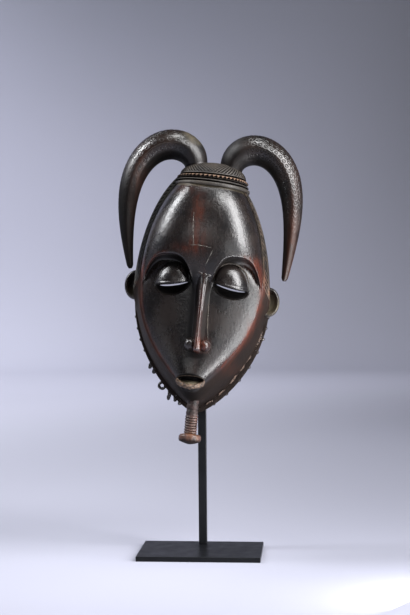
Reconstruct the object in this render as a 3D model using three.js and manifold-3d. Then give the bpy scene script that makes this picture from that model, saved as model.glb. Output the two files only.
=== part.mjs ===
// Carved wooden face mask with two curling horns, held upright on a steel display stand.
// Millimetres, +Z up, the mask looks along -Y. The origin is the middle of the
// base plate's underside.

import * as THREE from 'three';
import { mergeVertices } from 'three/addons/utils/BufferGeometryUtils.js';
import Module from 'manifold-3d';

const wasm = await Module();
wasm.setup();

// Stand: base plate, square upright and the holder that is welded to it
const plateWidth = 150;
const plateDepth = 95;
const plateThickness = 6;
const rodSide = 10;
const rodCentreY = 32.2;
const rodTopZ = 424;
const holderBar = 6;
const crossbarHeightZ = 296;
const crossbarLength = 139.4;
const crossbarX = 1.7;
const crossbarY = 10;
const hookReach = 42;
const hookRise = 39.6;
const weldGap = 0.3;

// Where the mask hangs: its back plane, level with its eyes
const maskPlace = { x: 6, y: 17, z: 331.5 };
const maskTurn = { yaw: 2, leanBack: 4, roll: 5.2 };

// Outline of the face, in the mask's own frame: u across, w up, depth in front of the back plane
const face = {
  halfWidth: 73.5, level: -2.5, top: 139, bottom: 130, offset: -2.9, skew: 0,
  chinPower: 2.2, chinRoundness: 0.85, edgeDepth: 44, chinDepthGain: 13, topDepthLoss: 7,
  endTaper: 20,
};

// Outline of the back rim, which is carved a little askew of the face
const rim = {
  halfWidth: 83, level: -24, top: 168.5, bottom: 135.6, offset: -1.75, skew: 0.026,
  chinPower: 1.9, chinRoundness: 0.75, collarThickness: 6, bandDepth: 8,
};

// Relief of the face
const forehead = { level: 52, halfHeight: 84, base: 33.5, bulge: 50, power: 2.8, roundness: 0.7, top: 119 };
const cheek = { depth: 64, power: 2.6, roundness: 0.8 };
const brow = { centre: 38, top: 32, drop: 16, reach: 32, power: 2.2 };
const lid = { centre: 35.3, halfWidth: 20, height: 28.5, proud: 9, buried: 4 };
const underEye = { halfWidth: 18.5, height: 13, depth: 5, above: 3 };
const nose = {
  centre: 1.8, topHalf: 3.2, buried: 8,
  sections: [
    { w: 20, half: 7, proud: 6 }, { w: 10, half: 8, proud: 10 }, { w: -30, half: 8.5, proud: 16 },
    { w: -70, half: 9.5, proud: 23.5 }, { w: -79, half: 9, proud: 23 }, { w: -84, half: 7, proud: 9 },
  ],
};
const nostril = { left: -9.5, right: 12.8, level: -75, halfWidth: 8, halfHeight: 7, proud: 13.5 };
const mouth = { centre: -4.5, level: -117, halfWidth: 17.5, lipHeight: 12, lipProud: 10, buried: 5, muzzle: 3 };

// The hollow behind the face
const wallThickness = 9;
const frontThickness = 12;
const hollow = { foreheadDepth: 68, cheekDepth: 51, power: 2.4, roundness: 0.8 };

// Openings through the face and the parted lips
const eyeSlit = { centre: 34, level: -5.8, length: 34, height: 3.4, slope: 11 };
const mouthCut = { length: 29, height: 7, depth: 9 };

// Coiffure above the forehead: three plain ridges and a low crown
const cap = {
  centreDepth: 18, back: 18, crownTop: 146.3, crownBase: 128, crownHalfWidth: 40, crownFront: 45.5,
  ridges: [
    { low: 113.5, high: 116.4, halfWidth: 46, front: 52 },
    { low: 117.6, high: 120.4, halfWidth: 44.5, front: 51 },
    { low: 121.8, high: 127.2, halfWidth: 42.5, front: 48.5 },
  ],
  grooveDepth: 2, squareness: 2.6, sides: 32, steps: 6,
};

// Horns: each follows a curl, whose heading turns from the start angle to the end angle
const horn = {
  thickest: 37, tip: 7, rootDiameter: 28, swellLength: 35, taperStart: 45, taperPower: 1.25,
  rootDepth: 30, forwardSweep: 15, buried: 14, rings: 26, sides: 11,
};
const hornLeft = {
  side: -1, rootU: 21.5, rootW: 143.1, startAngle: 105, endAngle: 286, curl: 66, curlPower: 1.17,
  length: 219.5,
};
const hornRight = {
  side: 1, rootU: 21.7, rootW: 142.3, startAngle: 102, endAngle: 277, curl: 60.5, curlPower: 1.23,
  length: 220,
};

// Ears, the left one set a little higher
const ear = { halfHeight: 18, reach: 13.5, thickness: 7, depth: 20, hollow: 0.62 };
const earLeft = { u: -83, w: -9 };
const earRight = { u: 80, w: -17 };

// Ringed beard with a round knob at its end
const beard = {
  u: -0.6, top: -141, depth: 27, lean: 6, shaftRadius: 7.4, lumps: 3, lumpLength: 7, lumpHeight: 1,
  rings: 7, ringPitch: 3.1, ringHeight: 1.1, knobRadius: 13.4, knobHeight: 11, sides: 16,
};

// Stumps of the broken collar teeth, from the left ear round to the right one: their place on
// the rim, as the angle from straight down, and the length that is left
const tooth = { width: 6, thickness: 5, root: 4, droop: 0.5 };
const teeth = [
  [-66, 1], [-57, 1], [-49, 1.5], [-41, 1], [-31.8, 5.5], [-27.9, 4], [-14.1, 9.5], [-10.3, 4], [-7.6, 3],
  [9.9, 1.5], [17.3, 1.5], [26.9, 1.5], [36.2, 2], [46.7, 2], [56.7, 2], [65, 1.2], [74, 1.5],
];
const toothHubLevel = -12;
const toothLoop = { angle: -19.7, reach: 8, radius: 5.5, hole: 2 };

// Materials, with the colours of the real surfaces
const darkWood = new THREE.MeshStandardMaterial({ color: 0x2a1c16, roughness: 0.38, metalness: 0 });
const blackSteel = new THREE.MeshStandardMaterial({ color: 0x17171a, roughness: 0.45, metalness: 0.6 });

// Small number helpers
const clamp01 = (t) => Math.min(1, Math.max(0, t));
const mix = (a, b, t) => a + (b - a) * t;
const { degToRad } = THREE.MathUtils;
function smoothstep(low, high, x) {
  const t = clamp01((x - low) / (high - low));
  return t * t * (3 - 2 * t);
}

// A closed set of positions and triangles as a solid that can be joined and cut
function solidFrom(vertProperties, triVerts) {
  const mesh = new wasm.Mesh({
    numProp: 3,
    vertProperties: new Float32Array(vertProperties),
    triVerts: new Uint32Array(triVerts),
  });
  return new wasm.Manifold(mesh);
}

function solidFromGeometry(source, matrix) {
  const geometry = source.clone();
  geometry.deleteAttribute('normal');
  geometry.deleteAttribute('uv');
  if (matrix) geometry.applyMatrix4(matrix);
  const merged = mergeVertices(geometry, 1e-4);
  return solidFrom(merged.attributes.position.array, merged.index.array);
}

function geometryFrom(solid) {
  const { vertProperties, triVerts } = solid.getMesh();
  const geometry = new THREE.BufferGeometry();
  geometry.setAttribute('position', new THREE.Float32BufferAttribute(vertProperties, 3));
  geometry.setIndex(Array.from(triVerts));
  geometry.computeVertexNormals();
  return geometry;
}

// Half width of an egg that is elliptical above its widest level and pointed below it
function eggHalfWidth(shape, w) {
  const rise = clamp01((w - shape.level) / shape.top);
  const fall = clamp01((shape.level - w) / shape.bottom);
  const above = Math.sqrt(1 - rise * rise);
  const below = (1 - fall ** shape.chinPower) ** shape.chinRoundness;
  return shape.halfWidth * above * below;
}

function edgeDepthAt(w) {
  const change = w < 0 ? face.chinDepthGain : -face.topDepthLoss;
  return face.edgeDepth + change * (w / face.bottom) ** 2;
}

const centreAt = (shape, w) => shape.offset - shape.skew * w;

// How far the surface has risen to its full depth: not at all along the face's edge and at its two ends
function fullness(u, w, { power, roundness }, inset = 0) {
  const half = eggHalfWidth(face, w) - inset;
  const share = clamp01(Math.abs(u - face.offset) / Math.max(half, 1));
  return Math.sqrt(clamp01(half / face.endTaper)) * (1 - share ** power) ** roundness;
}

function foreheadDepth(u, w) {
  const rise = (w - forehead.level) / forehead.halfHeight;
  const crest = forehead.base + forehead.bulge * Math.sqrt(Math.max(0, 1 - rise * rise));
  const edge = edgeDepthAt(w);
  return edge + Math.max(0, crest - edge) * fullness(u, w, forehead);
}

// The long flat face below the forehead, slightly raised round the mouth
function cheekDepth(u, w) {
  const edge = edgeDepthAt(w);
  const across = (u - mouth.centre) / mouth.halfWidth;
  const up = (w - mouth.level) / mouth.halfWidth;
  const muzzle = mouth.muzzle * Math.exp(-(across ** 2) - up ** 2);
  return edge + (cheek.depth - edge) * fullness(u, w, cheek) + muzzle;
}

function browLevel(u) {
  return brow.top - brow.drop * (Math.abs(Math.abs(u) - brow.centre) / brow.reach) ** brow.power;
}

// The hollow follows the face without its relief, and stays a wall's thickness behind it
function hollowFrontDepth(u, w) {
  const edge = edgeDepthAt(w) - frontThickness;
  const above = smoothstep(-5, 60, w) * smoothstep(128, 85, w);
  const crest = mix(hollow.cheekDepth, hollow.foreheadDepth, above);
  return edge + Math.max(0, crest - edge) * fullness(u, w, hollow, wallThickness);
}

// Grid of faces between rows of points, each row an array of vertex numbers
function stitch(triangles, first, second, closed) {
  const count = closed ? first.length : first.length - 1;
  for (let k = 0; k < count; k += 1) {
    const m = (k + 1) % first.length;
    triangles.push(first[k], second[k], first[m], first[m], second[k], second[m]);
  }
}

// Square grid point (a, b) carried to the unit disc, so that the mesh has no pole on the face.
// The first number is the share of the disc's width at that height.
function discPoint(a, b) {
  const x = a * Math.sqrt(1 - (b * b) / 2);
  const y = b * Math.sqrt(1 - (a * a) / 2);
  const half = Math.sqrt(Math.max(0, 1 - y * y));
  return half < 0.01 ? [0, y] : [Math.max(-1, Math.min(1, x / half)), y];
}

// Point of an egg at a share of its width and of its height, drawn in all round by an inset
function eggPoint(shape, share, up, inset) {
  const height = up > 0 ? shape.top : shape.bottom;
  const half = eggHalfWidth(shape, shape.level + up * height) * (1 - inset / shape.halfWidth);
  const w = shape.level + up * (height - inset);
  return [centreAt(shape, w) + share * half, w];
}

// One closed shell of the head: front grid, side walls in loops, and a flat back
function headSolid({ columns, rows, inset, depthAt, wallLoops, backDepth }) {
  const positions = [];
  const triangles = [];
  const push = (u, depth, w) => positions.push(u, -depth, w) / 3 - 1;
  const disc = (i, j) => discPoint((2 * i) / columns - 1, (2 * j) / rows - 1);

  const grid = [];
  for (let i = 0; i <= columns; i += 1) {
    grid.push([]);
    for (let j = 0; j <= rows; j += 1) {
      const [u, w] = eggPoint(face, ...disc(i, j), inset);
      grid[i].push(push(u, depthAt(u, w), w));
    }
  }
  for (let i = 0; i < columns; i += 1) stitch(triangles, grid[i], grid[i + 1], false);

  // The grid's border, counter-clockwise seen from the front
  const border = [];
  for (let i = 0; i < columns; i += 1) border.push([i, 0]);
  for (let j = 0; j < rows; j += 1) border.push([columns, j]);
  for (let i = columns; i > 0; i -= 1) border.push([i, rows]);
  for (let j = rows; j > 0; j -= 1) border.push([0, j]);

  let loop = border.map(([i, j]) => grid[i][j]);
  for (const wall of wallLoops) {
    const next = border.map(([i, j]) => {
      const inner = eggPoint(face, ...disc(i, j), inset);
      const outer = eggPoint(rim, ...disc(i, j), inset);
      const { blend, depth } = wall(inner[1]);
      return push(mix(inner[0], outer[0], blend), depth, mix(inner[1], outer[1], blend));
    });
    stitch(triangles, loop, next, true);
    loop = next;
  }

  const hub = push(face.offset, backDepth, 0);
  for (let k = 0; k < loop.length; k += 1) triangles.push(hub, loop[(k + 1) % loop.length], loop[k]);
  return solidFrom(positions, triangles);
}

// Above the ears the wall drops straight back from a narrow band; below them it slopes out
// to a thin collar
function outerWallLoops() {
  const low = (w) => smoothstep(10, -35, w);
  return [
    (w) => ({ blend: mix(1, 0.32, low(w)), depth: edgeDepthAt(w) - mix(rim.bandDepth, 14, low(w)) }),
    (w) => ({ blend: mix(1, 0.72, low(w)), depth: mix(20, 9, low(w)) }),
    () => ({ blend: 1, depth: rim.collarThickness }),
    () => ({ blend: 1, depth: 0 }),
  ];
}

function headBlank() {
  return headSolid({
    columns: 20, rows: 30, inset: 0, depthAt: cheekDepth, wallLoops: outerWallLoops(), backDepth: 0,
  });
}

function headHollow() {
  const behind = -4;
  return headSolid({
    columns: 14, rows: 22, inset: wallThickness, depthAt: hollowFrontDepth,
    wallLoops: [() => ({ blend: 1, depth: 0 }), () => ({ blend: 1, depth: behind })], backDepth: behind,
  });
}

// The bulging forehead: a thick plate whose lower edge is the double arch of the brows
function foreheadSolid() {
  const [columns, rows, thickness] = [26, 10, 22];
  const positions = [];
  const triangles = [];
  const fronts = [];
  const backs = [];
  for (let j = 0; j <= rows; j += 1) {
    fronts.push([]);
    backs.push([]);
    for (let i = 0; i <= columns; i += 1) {
      const share = Math.sin((0.5 * Math.PI * (2 * i - columns)) / columns);
      let u = share * brow.centre;
      let w = brow.top;
      for (let n = 0; n < 8; n += 1) {
        w = mix(browLevel(u), forehead.top, j / rows);
        u = face.offset + share * eggHalfWidth(face, w);
      }
      const edge = edgeDepthAt(w);
      fronts[j].push(positions.push(u, -foreheadDepth(u, w), w) / 3 - 1);
      backs[j].push(positions.push(u, -(edge - thickness), w) / 3 - 1);
    }
  }
  for (let j = 0; j < rows; j += 1) {
    stitch(triangles, fronts[j + 1], fronts[j], false);
    stitch(triangles, backs[j], backs[j + 1], false);
  }
  stitch(triangles, fronts[0], backs[0], false);
  stitch(triangles, backs[rows], fronts[rows], false);
  const side = (rowsOfPoints, i) => rowsOfPoints.map((row) => row[i]);
  stitch(triangles, side(backs, 0), side(fronts, 0), false);
  stitch(triangles, side(fronts, columns), side(backs, columns), false);
  return solidFrom(positions, triangles);
}

// Large block above or below the line of one eye slit, for halving a dome there
function slitHalfSpace(outward, above) {
  const size = 80;
  const matrix = new THREE.Matrix4().makeTranslation(0, 0, above ? size / 2 : -size / 2);
  matrix.premultiply(new THREE.Matrix4().makeRotationY(degToRad(outward * eyeSlit.slope)));
  matrix.premultiply(new THREE.Matrix4().makeTranslation(outward * lid.centre, -cheek.depth, eyeSlit.level));
  return solidFromGeometry(new THREE.BoxGeometry(size, size, size), matrix);
}

// Closed lid: the upper half of a dome that ends at the slit
function lidSolid(outward) {
  const depth = cheek.depth - lid.buried;
  const radii = [lid.halfWidth, lid.proud + lid.buried, lid.height];
  const dome = ellipsoid([outward * lid.centre, -depth, eyeSlit.level], radii, 16, 12);
  return dome.subtract(slitHalfSpace(outward, false));
}

// Scooped hollow below the slit
function underEyeScoop(outward) {
  const radii = [underEye.halfWidth, underEye.depth + underEye.above, underEye.height];
  const centre = [outward * lid.centre, -(cheek.depth + underEye.above), eyeSlit.level];
  return ellipsoid(centre, radii, 14, 10).subtract(slitHalfSpace(outward, true));
}

// Straight nose: a row of flat-topped sections from the brows down to the overhanging tip
function noseSolid() {
  const positions = [];
  const triangles = [];
  const rows = nose.sections.map(({ w, half, proud }) => {
    const [low, high] = [cheek.depth - nose.buried, cheek.depth + proud];
    const outline = [
      [-half, low], [half, low], [half, mix(low, high, 0.35)], [nose.topHalf, high],
      [-nose.topHalf, high], [-half, mix(low, high, 0.35)],
    ];
    return outline.map(([u, depth]) => positions.push(nose.centre + u, -depth, w) / 3 - 1);
  });
  for (let j = 0; j + 1 < rows.length; j += 1) stitch(triangles, rows[j + 1], rows[j], true);
  const [top, bottom] = [rows[0], rows[rows.length - 1]];
  for (let k = 1; k + 1 < top.length; k += 1) {
    triangles.push(top[0], top[k + 1], top[k], bottom[0], bottom[k], bottom[k + 1]);
  }
  return solidFrom(positions, triangles);
}

function faceFeatures() {
  const wing = (u) => ellipsoid(
    [u, -cheek.depth, nostril.level], [nostril.halfWidth, nostril.proud, nostril.halfHeight], 12, 8,
  );
  const lips = ellipsoid(
    [mouth.centre, -(cheek.depth - mouth.buried), mouth.level],
    [mouth.halfWidth, mouth.lipProud + mouth.buried, mouth.lipHeight], 18, 12,
  );
  return [foreheadSolid(), lidSolid(-1), lidSolid(1), noseSolid(), wing(nostril.left), wing(nostril.right), lips];
}

// A closed stack of squarish rings, each given by its height, half width and front reach
function ringStack(levels, { centreDepth, back, squareness, sides }) {
  const positions = [];
  const triangles = [];
  const squared = (value) => Math.sign(value) * Math.abs(value) ** (2 / squareness);
  const rows = levels.map(({ w, halfWidth, front }) => {
    const row = [];
    for (let k = 0; k < sides; k += 1) {
      const angle = (2 * Math.PI * k) / sides;
      const reach = Math.sin(angle) > 0 ? front : Math.min(back, front);
      const depth = centreDepth + reach * squared(Math.sin(angle));
      row.push(positions.push(halfWidth * squared(Math.cos(angle)), -depth, w) / 3 - 1);
    }
    return row;
  });
  for (let j = 0; j + 1 < rows.length; j += 1) stitch(triangles, rows[j], rows[j + 1], true);
  const bottom = positions.push(0, -centreDepth, levels[0].w) / 3 - 1;
  const top = positions.push(0, -centreDepth, levels[levels.length - 1].w) / 3 - 1;
  const last = rows[rows.length - 1];
  for (let k = 0; k < sides; k += 1) {
    const m = (k + 1) % sides;
    triangles.push(bottom, rows[0][k], rows[0][m], top, last[m], last[k]);
  }
  return solidFrom(positions, triangles);
}

function capSolid() {
  const levels = [];
  for (const { low, high, halfWidth, front } of cap.ridges) {
    const inner = { halfWidth: halfWidth - cap.grooveDepth, front: front - cap.grooveDepth };
    levels.push({ w: low - 0.6, ...inner }, { w: low, halfWidth, front });
    levels.push({ w: high, halfWidth, front }, { w: high + 0.6, ...inner });
  }
  for (let k = 0; k < cap.steps; k += 1) {
    const rise = Math.sin((0.5 * Math.PI * k) / cap.steps);
    const spread = Math.sqrt(1 - rise * rise);
    levels.push({
      w: mix(cap.crownBase, cap.crownTop, rise),
      halfWidth: cap.crownHalfWidth * spread,
      front: cap.crownFront * spread,
    });
  }
  levels.push({ w: cap.crownTop, halfWidth: 2, front: 2 });
  return ringStack(levels, cap);
}

function hornDiameter(s, length) {
  const swell = 1 - (1 - clamp01(s / horn.swellLength)) ** 2;
  const taper = clamp01((s - horn.taperStart) / (length - horn.taperStart)) ** horn.taperPower;
  return mix(horn.rootDiameter, mix(horn.thickest, horn.tip, taper), swell);
}

// Centre line of a horn: steps along a heading that turns quickly at first, then settles
function hornCentres({ side, rootU, rootW, startAngle, endAngle, curl, curlPower, length }) {
  const steps = 130;
  const step = (length + horn.buried) / steps;
  const centres = [];
  let out = rootU + horn.buried * Math.cos(degToRad(startAngle));
  let w = rootW - horn.buried * Math.sin(degToRad(startAngle));
  for (let n = 0; n <= steps; n += 1) {
    const s = Math.max(0, n * step - horn.buried);
    const settled = Math.exp(-((s / curl) ** curlPower));
    const heading = degToRad(mix(endAngle, startAngle, settled));
    const depth = horn.rootDepth + horn.forwardSweep * (s / length) ** 1.5;
    centres.push({ s, point: new THREE.Vector3(side * out, -depth, w) });
    out -= step * Math.cos(heading);
    w += step * Math.sin(heading);
  }
  return centres;
}

function hornSolid(settings) {
  const centres = hornCentres(settings);
  const final = centres.length - 1;
  const positions = [];
  const triangles = [];
  const rows = [];
  for (let n = 0; n <= horn.rings; n += 1) {
    const m = Math.round((n / horn.rings) * final);
    const along = centres[Math.min(m + 1, final)].point.clone().sub(centres[Math.max(m - 1, 0)].point);
    const across = along.normalize().clone().cross(new THREE.Vector3(0, 1, 0)).normalize();
    const upright = across.clone().cross(along);
    const radius = hornDiameter(centres[m].s, settings.length) / 2;
    const row = [];
    for (let k = 0; k < horn.sides; k += 1) {
      const angle = (2 * Math.PI * k) / horn.sides;
      const p = centres[m].point.clone().addScaledVector(across, radius * Math.cos(angle));
      p.addScaledVector(upright, radius * Math.sin(angle));
      row.push(positions.push(p.x, p.y, p.z) / 3 - 1);
    }
    rows.push(row);
  }
  for (let j = 0; j < horn.rings; j += 1) stitch(triangles, rows[j], rows[j + 1], true);
  const ahead = centres[final].point.clone().sub(centres[final - 2].point).normalize();
  const root = centres[0].point;
  const tip = centres[final].point.clone().addScaledVector(ahead, horn.tip * 0.4);
  const bottom = positions.push(root.x, root.y, root.z) / 3 - 1;
  const top = positions.push(tip.x, tip.y, tip.z) / 3 - 1;
  for (let k = 0; k < horn.sides; k += 1) {
    const m = (k + 1) % horn.sides;
    triangles.push(bottom, rows[0][k], rows[0][m], top, rows[horn.rings][m], rows[horn.rings][k]);
  }
  return solidFrom(positions, triangles);
}

function ellipsoid(centre, radii, columns, rows) {
  const matrix = new THREE.Matrix4().makeTranslation(...centre);
  matrix.scale(new THREE.Vector3(...radii));
  return solidFromGeometry(new THREE.SphereGeometry(1, columns, rows), matrix);
}

// A cupped flange that is open to the front
function earSolid({ u, w }) {
  const outward = Math.sign(u);
  const shell = ellipsoid([u, -ear.depth, w], [ear.reach, ear.thickness, ear.halfHeight], 16, 10);
  const cup = ellipsoid(
    [u + outward * 3, -ear.depth - ear.thickness, w],
    [ear.reach * ear.hollow, ear.thickness * 0.8, ear.halfHeight * ear.hollow], 12, 8,
  );
  return shell.subtract(cup);
}

function beardSolid() {
  const profile = [new THREE.Vector2(0, 0)];
  let down = 0;
  const add = (radius, drop) => {
    down += drop;
    profile.push(new THREE.Vector2(radius, -down));
  };
  add(beard.shaftRadius, 0);
  for (let n = 0; n < beard.lumps; n += 1) {
    add(beard.shaftRadius + beard.lumpHeight, beard.lumpLength * 0.35);
    add(beard.shaftRadius + beard.lumpHeight, beard.lumpLength * 0.3);
    add(beard.shaftRadius - 0.4, beard.lumpLength * 0.35);
  }
  for (let n = 0; n < beard.rings; n += 1) {
    add(beard.shaftRadius + beard.ringHeight, beard.ringPitch * 0.5);
    add(beard.shaftRadius, beard.ringPitch * 0.5);
  }
  for (const share of [0.25, 0.5, 0.75, 1]) {
    const swell = Math.sin((0.5 * Math.PI * share)) ** 1.3;
    add(mix(beard.shaftRadius, beard.knobRadius, swell), beard.knobHeight * 0.14);
  }
  add(beard.knobRadius * 0.97, beard.knobHeight * 0.2);
  add(beard.knobRadius * 0.7, beard.knobHeight * 0.2);
  add(0, beard.knobHeight * 0.04);
  profile.reverse();
  const lathe = new THREE.LatheGeometry(profile, beard.sides);
  lathe.rotateX(Math.PI / 2);
  lathe.rotateX(-degToRad(beard.lean));
  lathe.translate(beard.u, -beard.depth, beard.top);
  return solidFromGeometry(lathe);
}

// Point on the rim at an angle from straight down, seen from the middle of the rim
function rimPoint(angleDegrees) {
  const angle = degToRad(angleDegrees);
  let low = 0;
  let high = 1;
  const at = (fall) => {
    const w = rim.level - fall * rim.bottom;
    return [Math.sign(angle) * eggHalfWidth(rim, w) + centreAt(rim, w), w];
  };
  for (let n = 0; n < 30; n += 1) {
    const middle = (low + high) / 2;
    const [u, w] = at(middle);
    if (Math.abs(Math.atan2(u, toothHubLevel - w)) > Math.abs(angle)) low = middle;
    else high = middle;
  }
  const [u, w] = at(low);
  return new THREE.Vector3(u, 0, w);
}

function rimFrame(angleDegrees) {
  const point = rimPoint(angleDegrees);
  const outward = new THREE.Vector3(point.x, 0, point.z - toothHubLevel).normalize();
  outward.z -= tooth.droop;
  outward.normalize();
  return { point, outward };
}

function toothSolid([angle, length]) {
  const { point, outward } = rimFrame(angle);
  const tilt = Math.atan2(outward.x, -outward.z);
  const height = length + tooth.root;
  const wedge = new THREE.CylinderGeometry(tooth.width / 2, tooth.width / 3.2, height, 5);
  const matrix = new THREE.Matrix4().makeRotationX(Math.PI / 2);
  matrix.premultiply(new THREE.Matrix4().makeScale(1, tooth.thickness / tooth.width, 1));
  matrix.premultiply(new THREE.Matrix4().makeRotationY(-tilt));
  const middle = point.clone().addScaledVector(outward, (length - tooth.root) / 2);
  matrix.premultiply(new THREE.Matrix4().makeTranslation(middle.x, -tooth.thickness / 2, middle.z));
  return solidFromGeometry(wedge, matrix);
}

// The one tooth that is still closed to a small eye
function toothLoopSolid() {
  const { point, outward } = rimFrame(toothLoop.angle);
  const middle = point.clone().addScaledVector(outward, toothLoop.reach - toothLoop.radius);
  const disc = (radius, thickness, sides) => {
    const matrix = new THREE.Matrix4().makeTranslation(middle.x, -tooth.thickness / 2, middle.z);
    return solidFromGeometry(new THREE.CylinderGeometry(radius, radius, thickness, sides), matrix);
  };
  return { ring: disc(toothLoop.radius, tooth.thickness, 12), hole: disc(toothLoop.hole, 30, 8) };
}

// Curved slot through the face: a thin lens in front view, cut straight back
function slotSolid({ u, w, length, height, slope, near, far }) {
  const shape = new THREE.Shape();
  shape.moveTo(-length / 2, 0);
  shape.quadraticCurveTo(0, -height, length / 2, 0);
  shape.quadraticCurveTo(0, height, -length / 2, 0);
  const lens = new THREE.ExtrudeGeometry(shape, {
    depth: near - far, bevelEnabled: false, curveSegments: 6,
  });
  const matrix = new THREE.Matrix4().makeRotationX(Math.PI / 2);
  matrix.premultiply(new THREE.Matrix4().makeTranslation(0, -far, 0));
  matrix.premultiply(new THREE.Matrix4().makeRotationY(degToRad(slope)));
  matrix.premultiply(new THREE.Matrix4().makeTranslation(u, 0, w));
  return solidFromGeometry(lens, matrix);
}

function maskGeometry() {
  const loop = toothLoopSolid();
  const added = [
    ...faceFeatures(), capSolid(), hornSolid(hornLeft), hornSolid(hornRight), earSolid(earLeft),
    earSolid(earRight), beardSolid(), loop.ring, ...teeth.map(toothSolid),
  ];
  const lipFront = cheek.depth + mouth.lipProud;
  const removed = [headHollow(), loop.hole, underEyeScoop(-1), underEyeScoop(1)];
  for (const outward of [-1, 1]) {
    removed.push(slotSolid({
      u: outward * eyeSlit.centre, w: eyeSlit.level, slope: outward * eyeSlit.slope,
      length: eyeSlit.length, height: eyeSlit.height, near: 90, far: 30,
    }));
  }
  removed.push(slotSolid({
    u: mouth.centre, w: mouth.level, slope: 0, length: mouthCut.length, height: mouthCut.height,
    near: lipFront + 10, far: lipFront - mouthCut.depth,
  }));

  let solid = headBlank();
  for (const piece of added) solid = solid.add(piece);
  for (const piece of removed) solid = solid.subtract(piece);
  return geometryFrom(solid);
}

function maskMesh() {
  const mesh = new THREE.Mesh(maskGeometry(), darkWood);
  mesh.name = 'mask';
  mesh.rotation.set(-degToRad(maskTurn.leanBack), degToRad(maskTurn.roll), degToRad(maskTurn.yaw), 'ZXY');
  mesh.position.set(maskPlace.x, maskPlace.y, maskPlace.z);
  return mesh;
}

function plateMesh() {
  const mesh = new THREE.Mesh(new THREE.BoxGeometry(plateWidth, plateDepth, plateThickness), blackSteel);
  mesh.name = 'stand_base_plate';
  mesh.position.set(0, 0, plateThickness / 2);
  return mesh;
}

function box(size, centre) {
  return solidFromGeometry(new THREE.BoxGeometry(...size), new THREE.Matrix4().makeTranslation(...centre));
}

// Upright, crossbar behind the cheeks and hook under the forehead, welded into one piece
function rodMesh() {
  const foot = plateThickness + weldGap;
  const rod = box([rodSide, rodSide, rodTopZ - foot], [0, rodCentreY, (rodTopZ + foot) / 2]);
  const bracketReach = rodCentreY - crossbarY;
  const bracket = box(
    [holderBar, bracketReach, holderBar], [0, rodCentreY - bracketReach / 2, crossbarHeightZ],
  );
  const crossbar = box([crossbarLength, holderBar, holderBar], [crossbarX, crossbarY, crossbarHeightZ]);
  const arm = box(
    [holderBar, hookReach, holderBar], [0, rodCentreY - hookReach / 2, rodTopZ - holderBar / 2],
  );
  const prong = box(
    [holderBar, holderBar, hookRise],
    [0, rodCentreY - hookReach + holderBar / 2, rodTopZ - holderBar + hookRise / 2],
  );
  const solid = rod.add(bracket).add(crossbar).add(arm).add(prong);
  const mesh = new THREE.Mesh(geometryFrom(solid), blackSteel);
  mesh.name = 'stand_rod_and_holder';
  return mesh;
}

const group = new THREE.Group();
group.add(maskMesh(), plateMesh(), rodMesh());

export default group;
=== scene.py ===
import math

import bpy
import numpy as np
from mathutils import Matrix, Vector


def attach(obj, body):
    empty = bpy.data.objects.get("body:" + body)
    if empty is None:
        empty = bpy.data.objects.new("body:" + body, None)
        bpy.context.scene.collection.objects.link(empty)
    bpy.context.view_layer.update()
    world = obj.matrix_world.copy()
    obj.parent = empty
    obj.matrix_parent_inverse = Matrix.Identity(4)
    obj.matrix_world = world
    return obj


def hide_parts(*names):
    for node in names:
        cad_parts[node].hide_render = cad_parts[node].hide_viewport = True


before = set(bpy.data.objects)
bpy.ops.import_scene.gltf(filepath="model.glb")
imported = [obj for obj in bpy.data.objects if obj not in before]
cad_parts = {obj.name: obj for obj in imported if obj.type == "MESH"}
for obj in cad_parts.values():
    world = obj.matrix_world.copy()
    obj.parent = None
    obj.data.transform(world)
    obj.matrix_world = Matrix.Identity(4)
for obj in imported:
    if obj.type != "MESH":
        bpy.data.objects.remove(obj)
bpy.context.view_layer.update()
print("frame loaded")

mm = 0.001

# Where the mask hangs, as in the solids: its back plane, level with its eyes (mm, degrees)
maskPlace = {"x": 6, "y": 17, "z": 331.5, "yaw": 2, "leanBack": 4, "roll": 5.2}


# Limits to 0..1, a straight blend from a to b, and a soft step from 0 at low to 1 at high
def clamp01(t):
    return np.clip(t, 0, 1)


def mix(a, b, t):
    return a + (b - a) * t


def smoothStep(low, high, x):
    t = clamp01((np.asarray(x, float) - low) / (high - low))
    return t * t * (3 - 2 * t)


# Turn about the depth axis, then the lean back, then the turn about the upright axis
def turnMatrix():
    yaw, lean, roll = (math.radians(maskPlace[key]) for key in ("yaw", "leanBack", "roll"))
    turned = Matrix.Rotation(yaw, 3, "Z") @ Matrix.Rotation(-lean, 3, "X") @ Matrix.Rotation(roll, 3, "Y")
    return np.array(turned)


maskTurn = turnMatrix()
maskOrigin = np.array([maskPlace["x"], maskPlace["y"], maskPlace["z"]], float)


# Mask points (u across, depth in front of the back plane, w up, all mm) carried to the frame in metres
def toWorld(u, depth, w):
    u, depth, w = np.broadcast_arrays(np.asarray(u, float), depth, w)
    local = np.stack([u, -depth, w], axis=-1)
    return (local @ maskTurn.T + maskOrigin) * mm


# The same for one array whose last axis holds u, depth and w
def gridToWorld(rows):
    return toWorld(rows[..., 0], rows[..., 1], rows[..., 2])


def toMask(points):
    local = (np.asarray(points) / mm - maskOrigin) @ maskTurn
    return local[..., 0], -local[..., 1], local[..., 2]


# Meshes: closed surfaces made of grids of points


# Quads between neighbouring rows of a grid of vertex numbers
def gridQuads(numbers, closedRows=False, closedColumns=False):
    if closedRows:
        numbers = np.vstack([numbers, numbers[:1]])
    if closedColumns:
        numbers = np.hstack([numbers, numbers[:, :1]])
    a, b, c, d = numbers[:-1, :-1], numbers[1:, :-1], numbers[1:, 1:], numbers[:-1, 1:]
    return np.stack([a, b, c, d], axis=-1).reshape(-1, 4)


# Fan of triangles from one middle point to a ring, and from a pole to an open row
def fan(middle, ring):
    return np.stack([np.full(len(ring), middle), ring, np.roll(ring, -1)], axis=-1)


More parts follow.
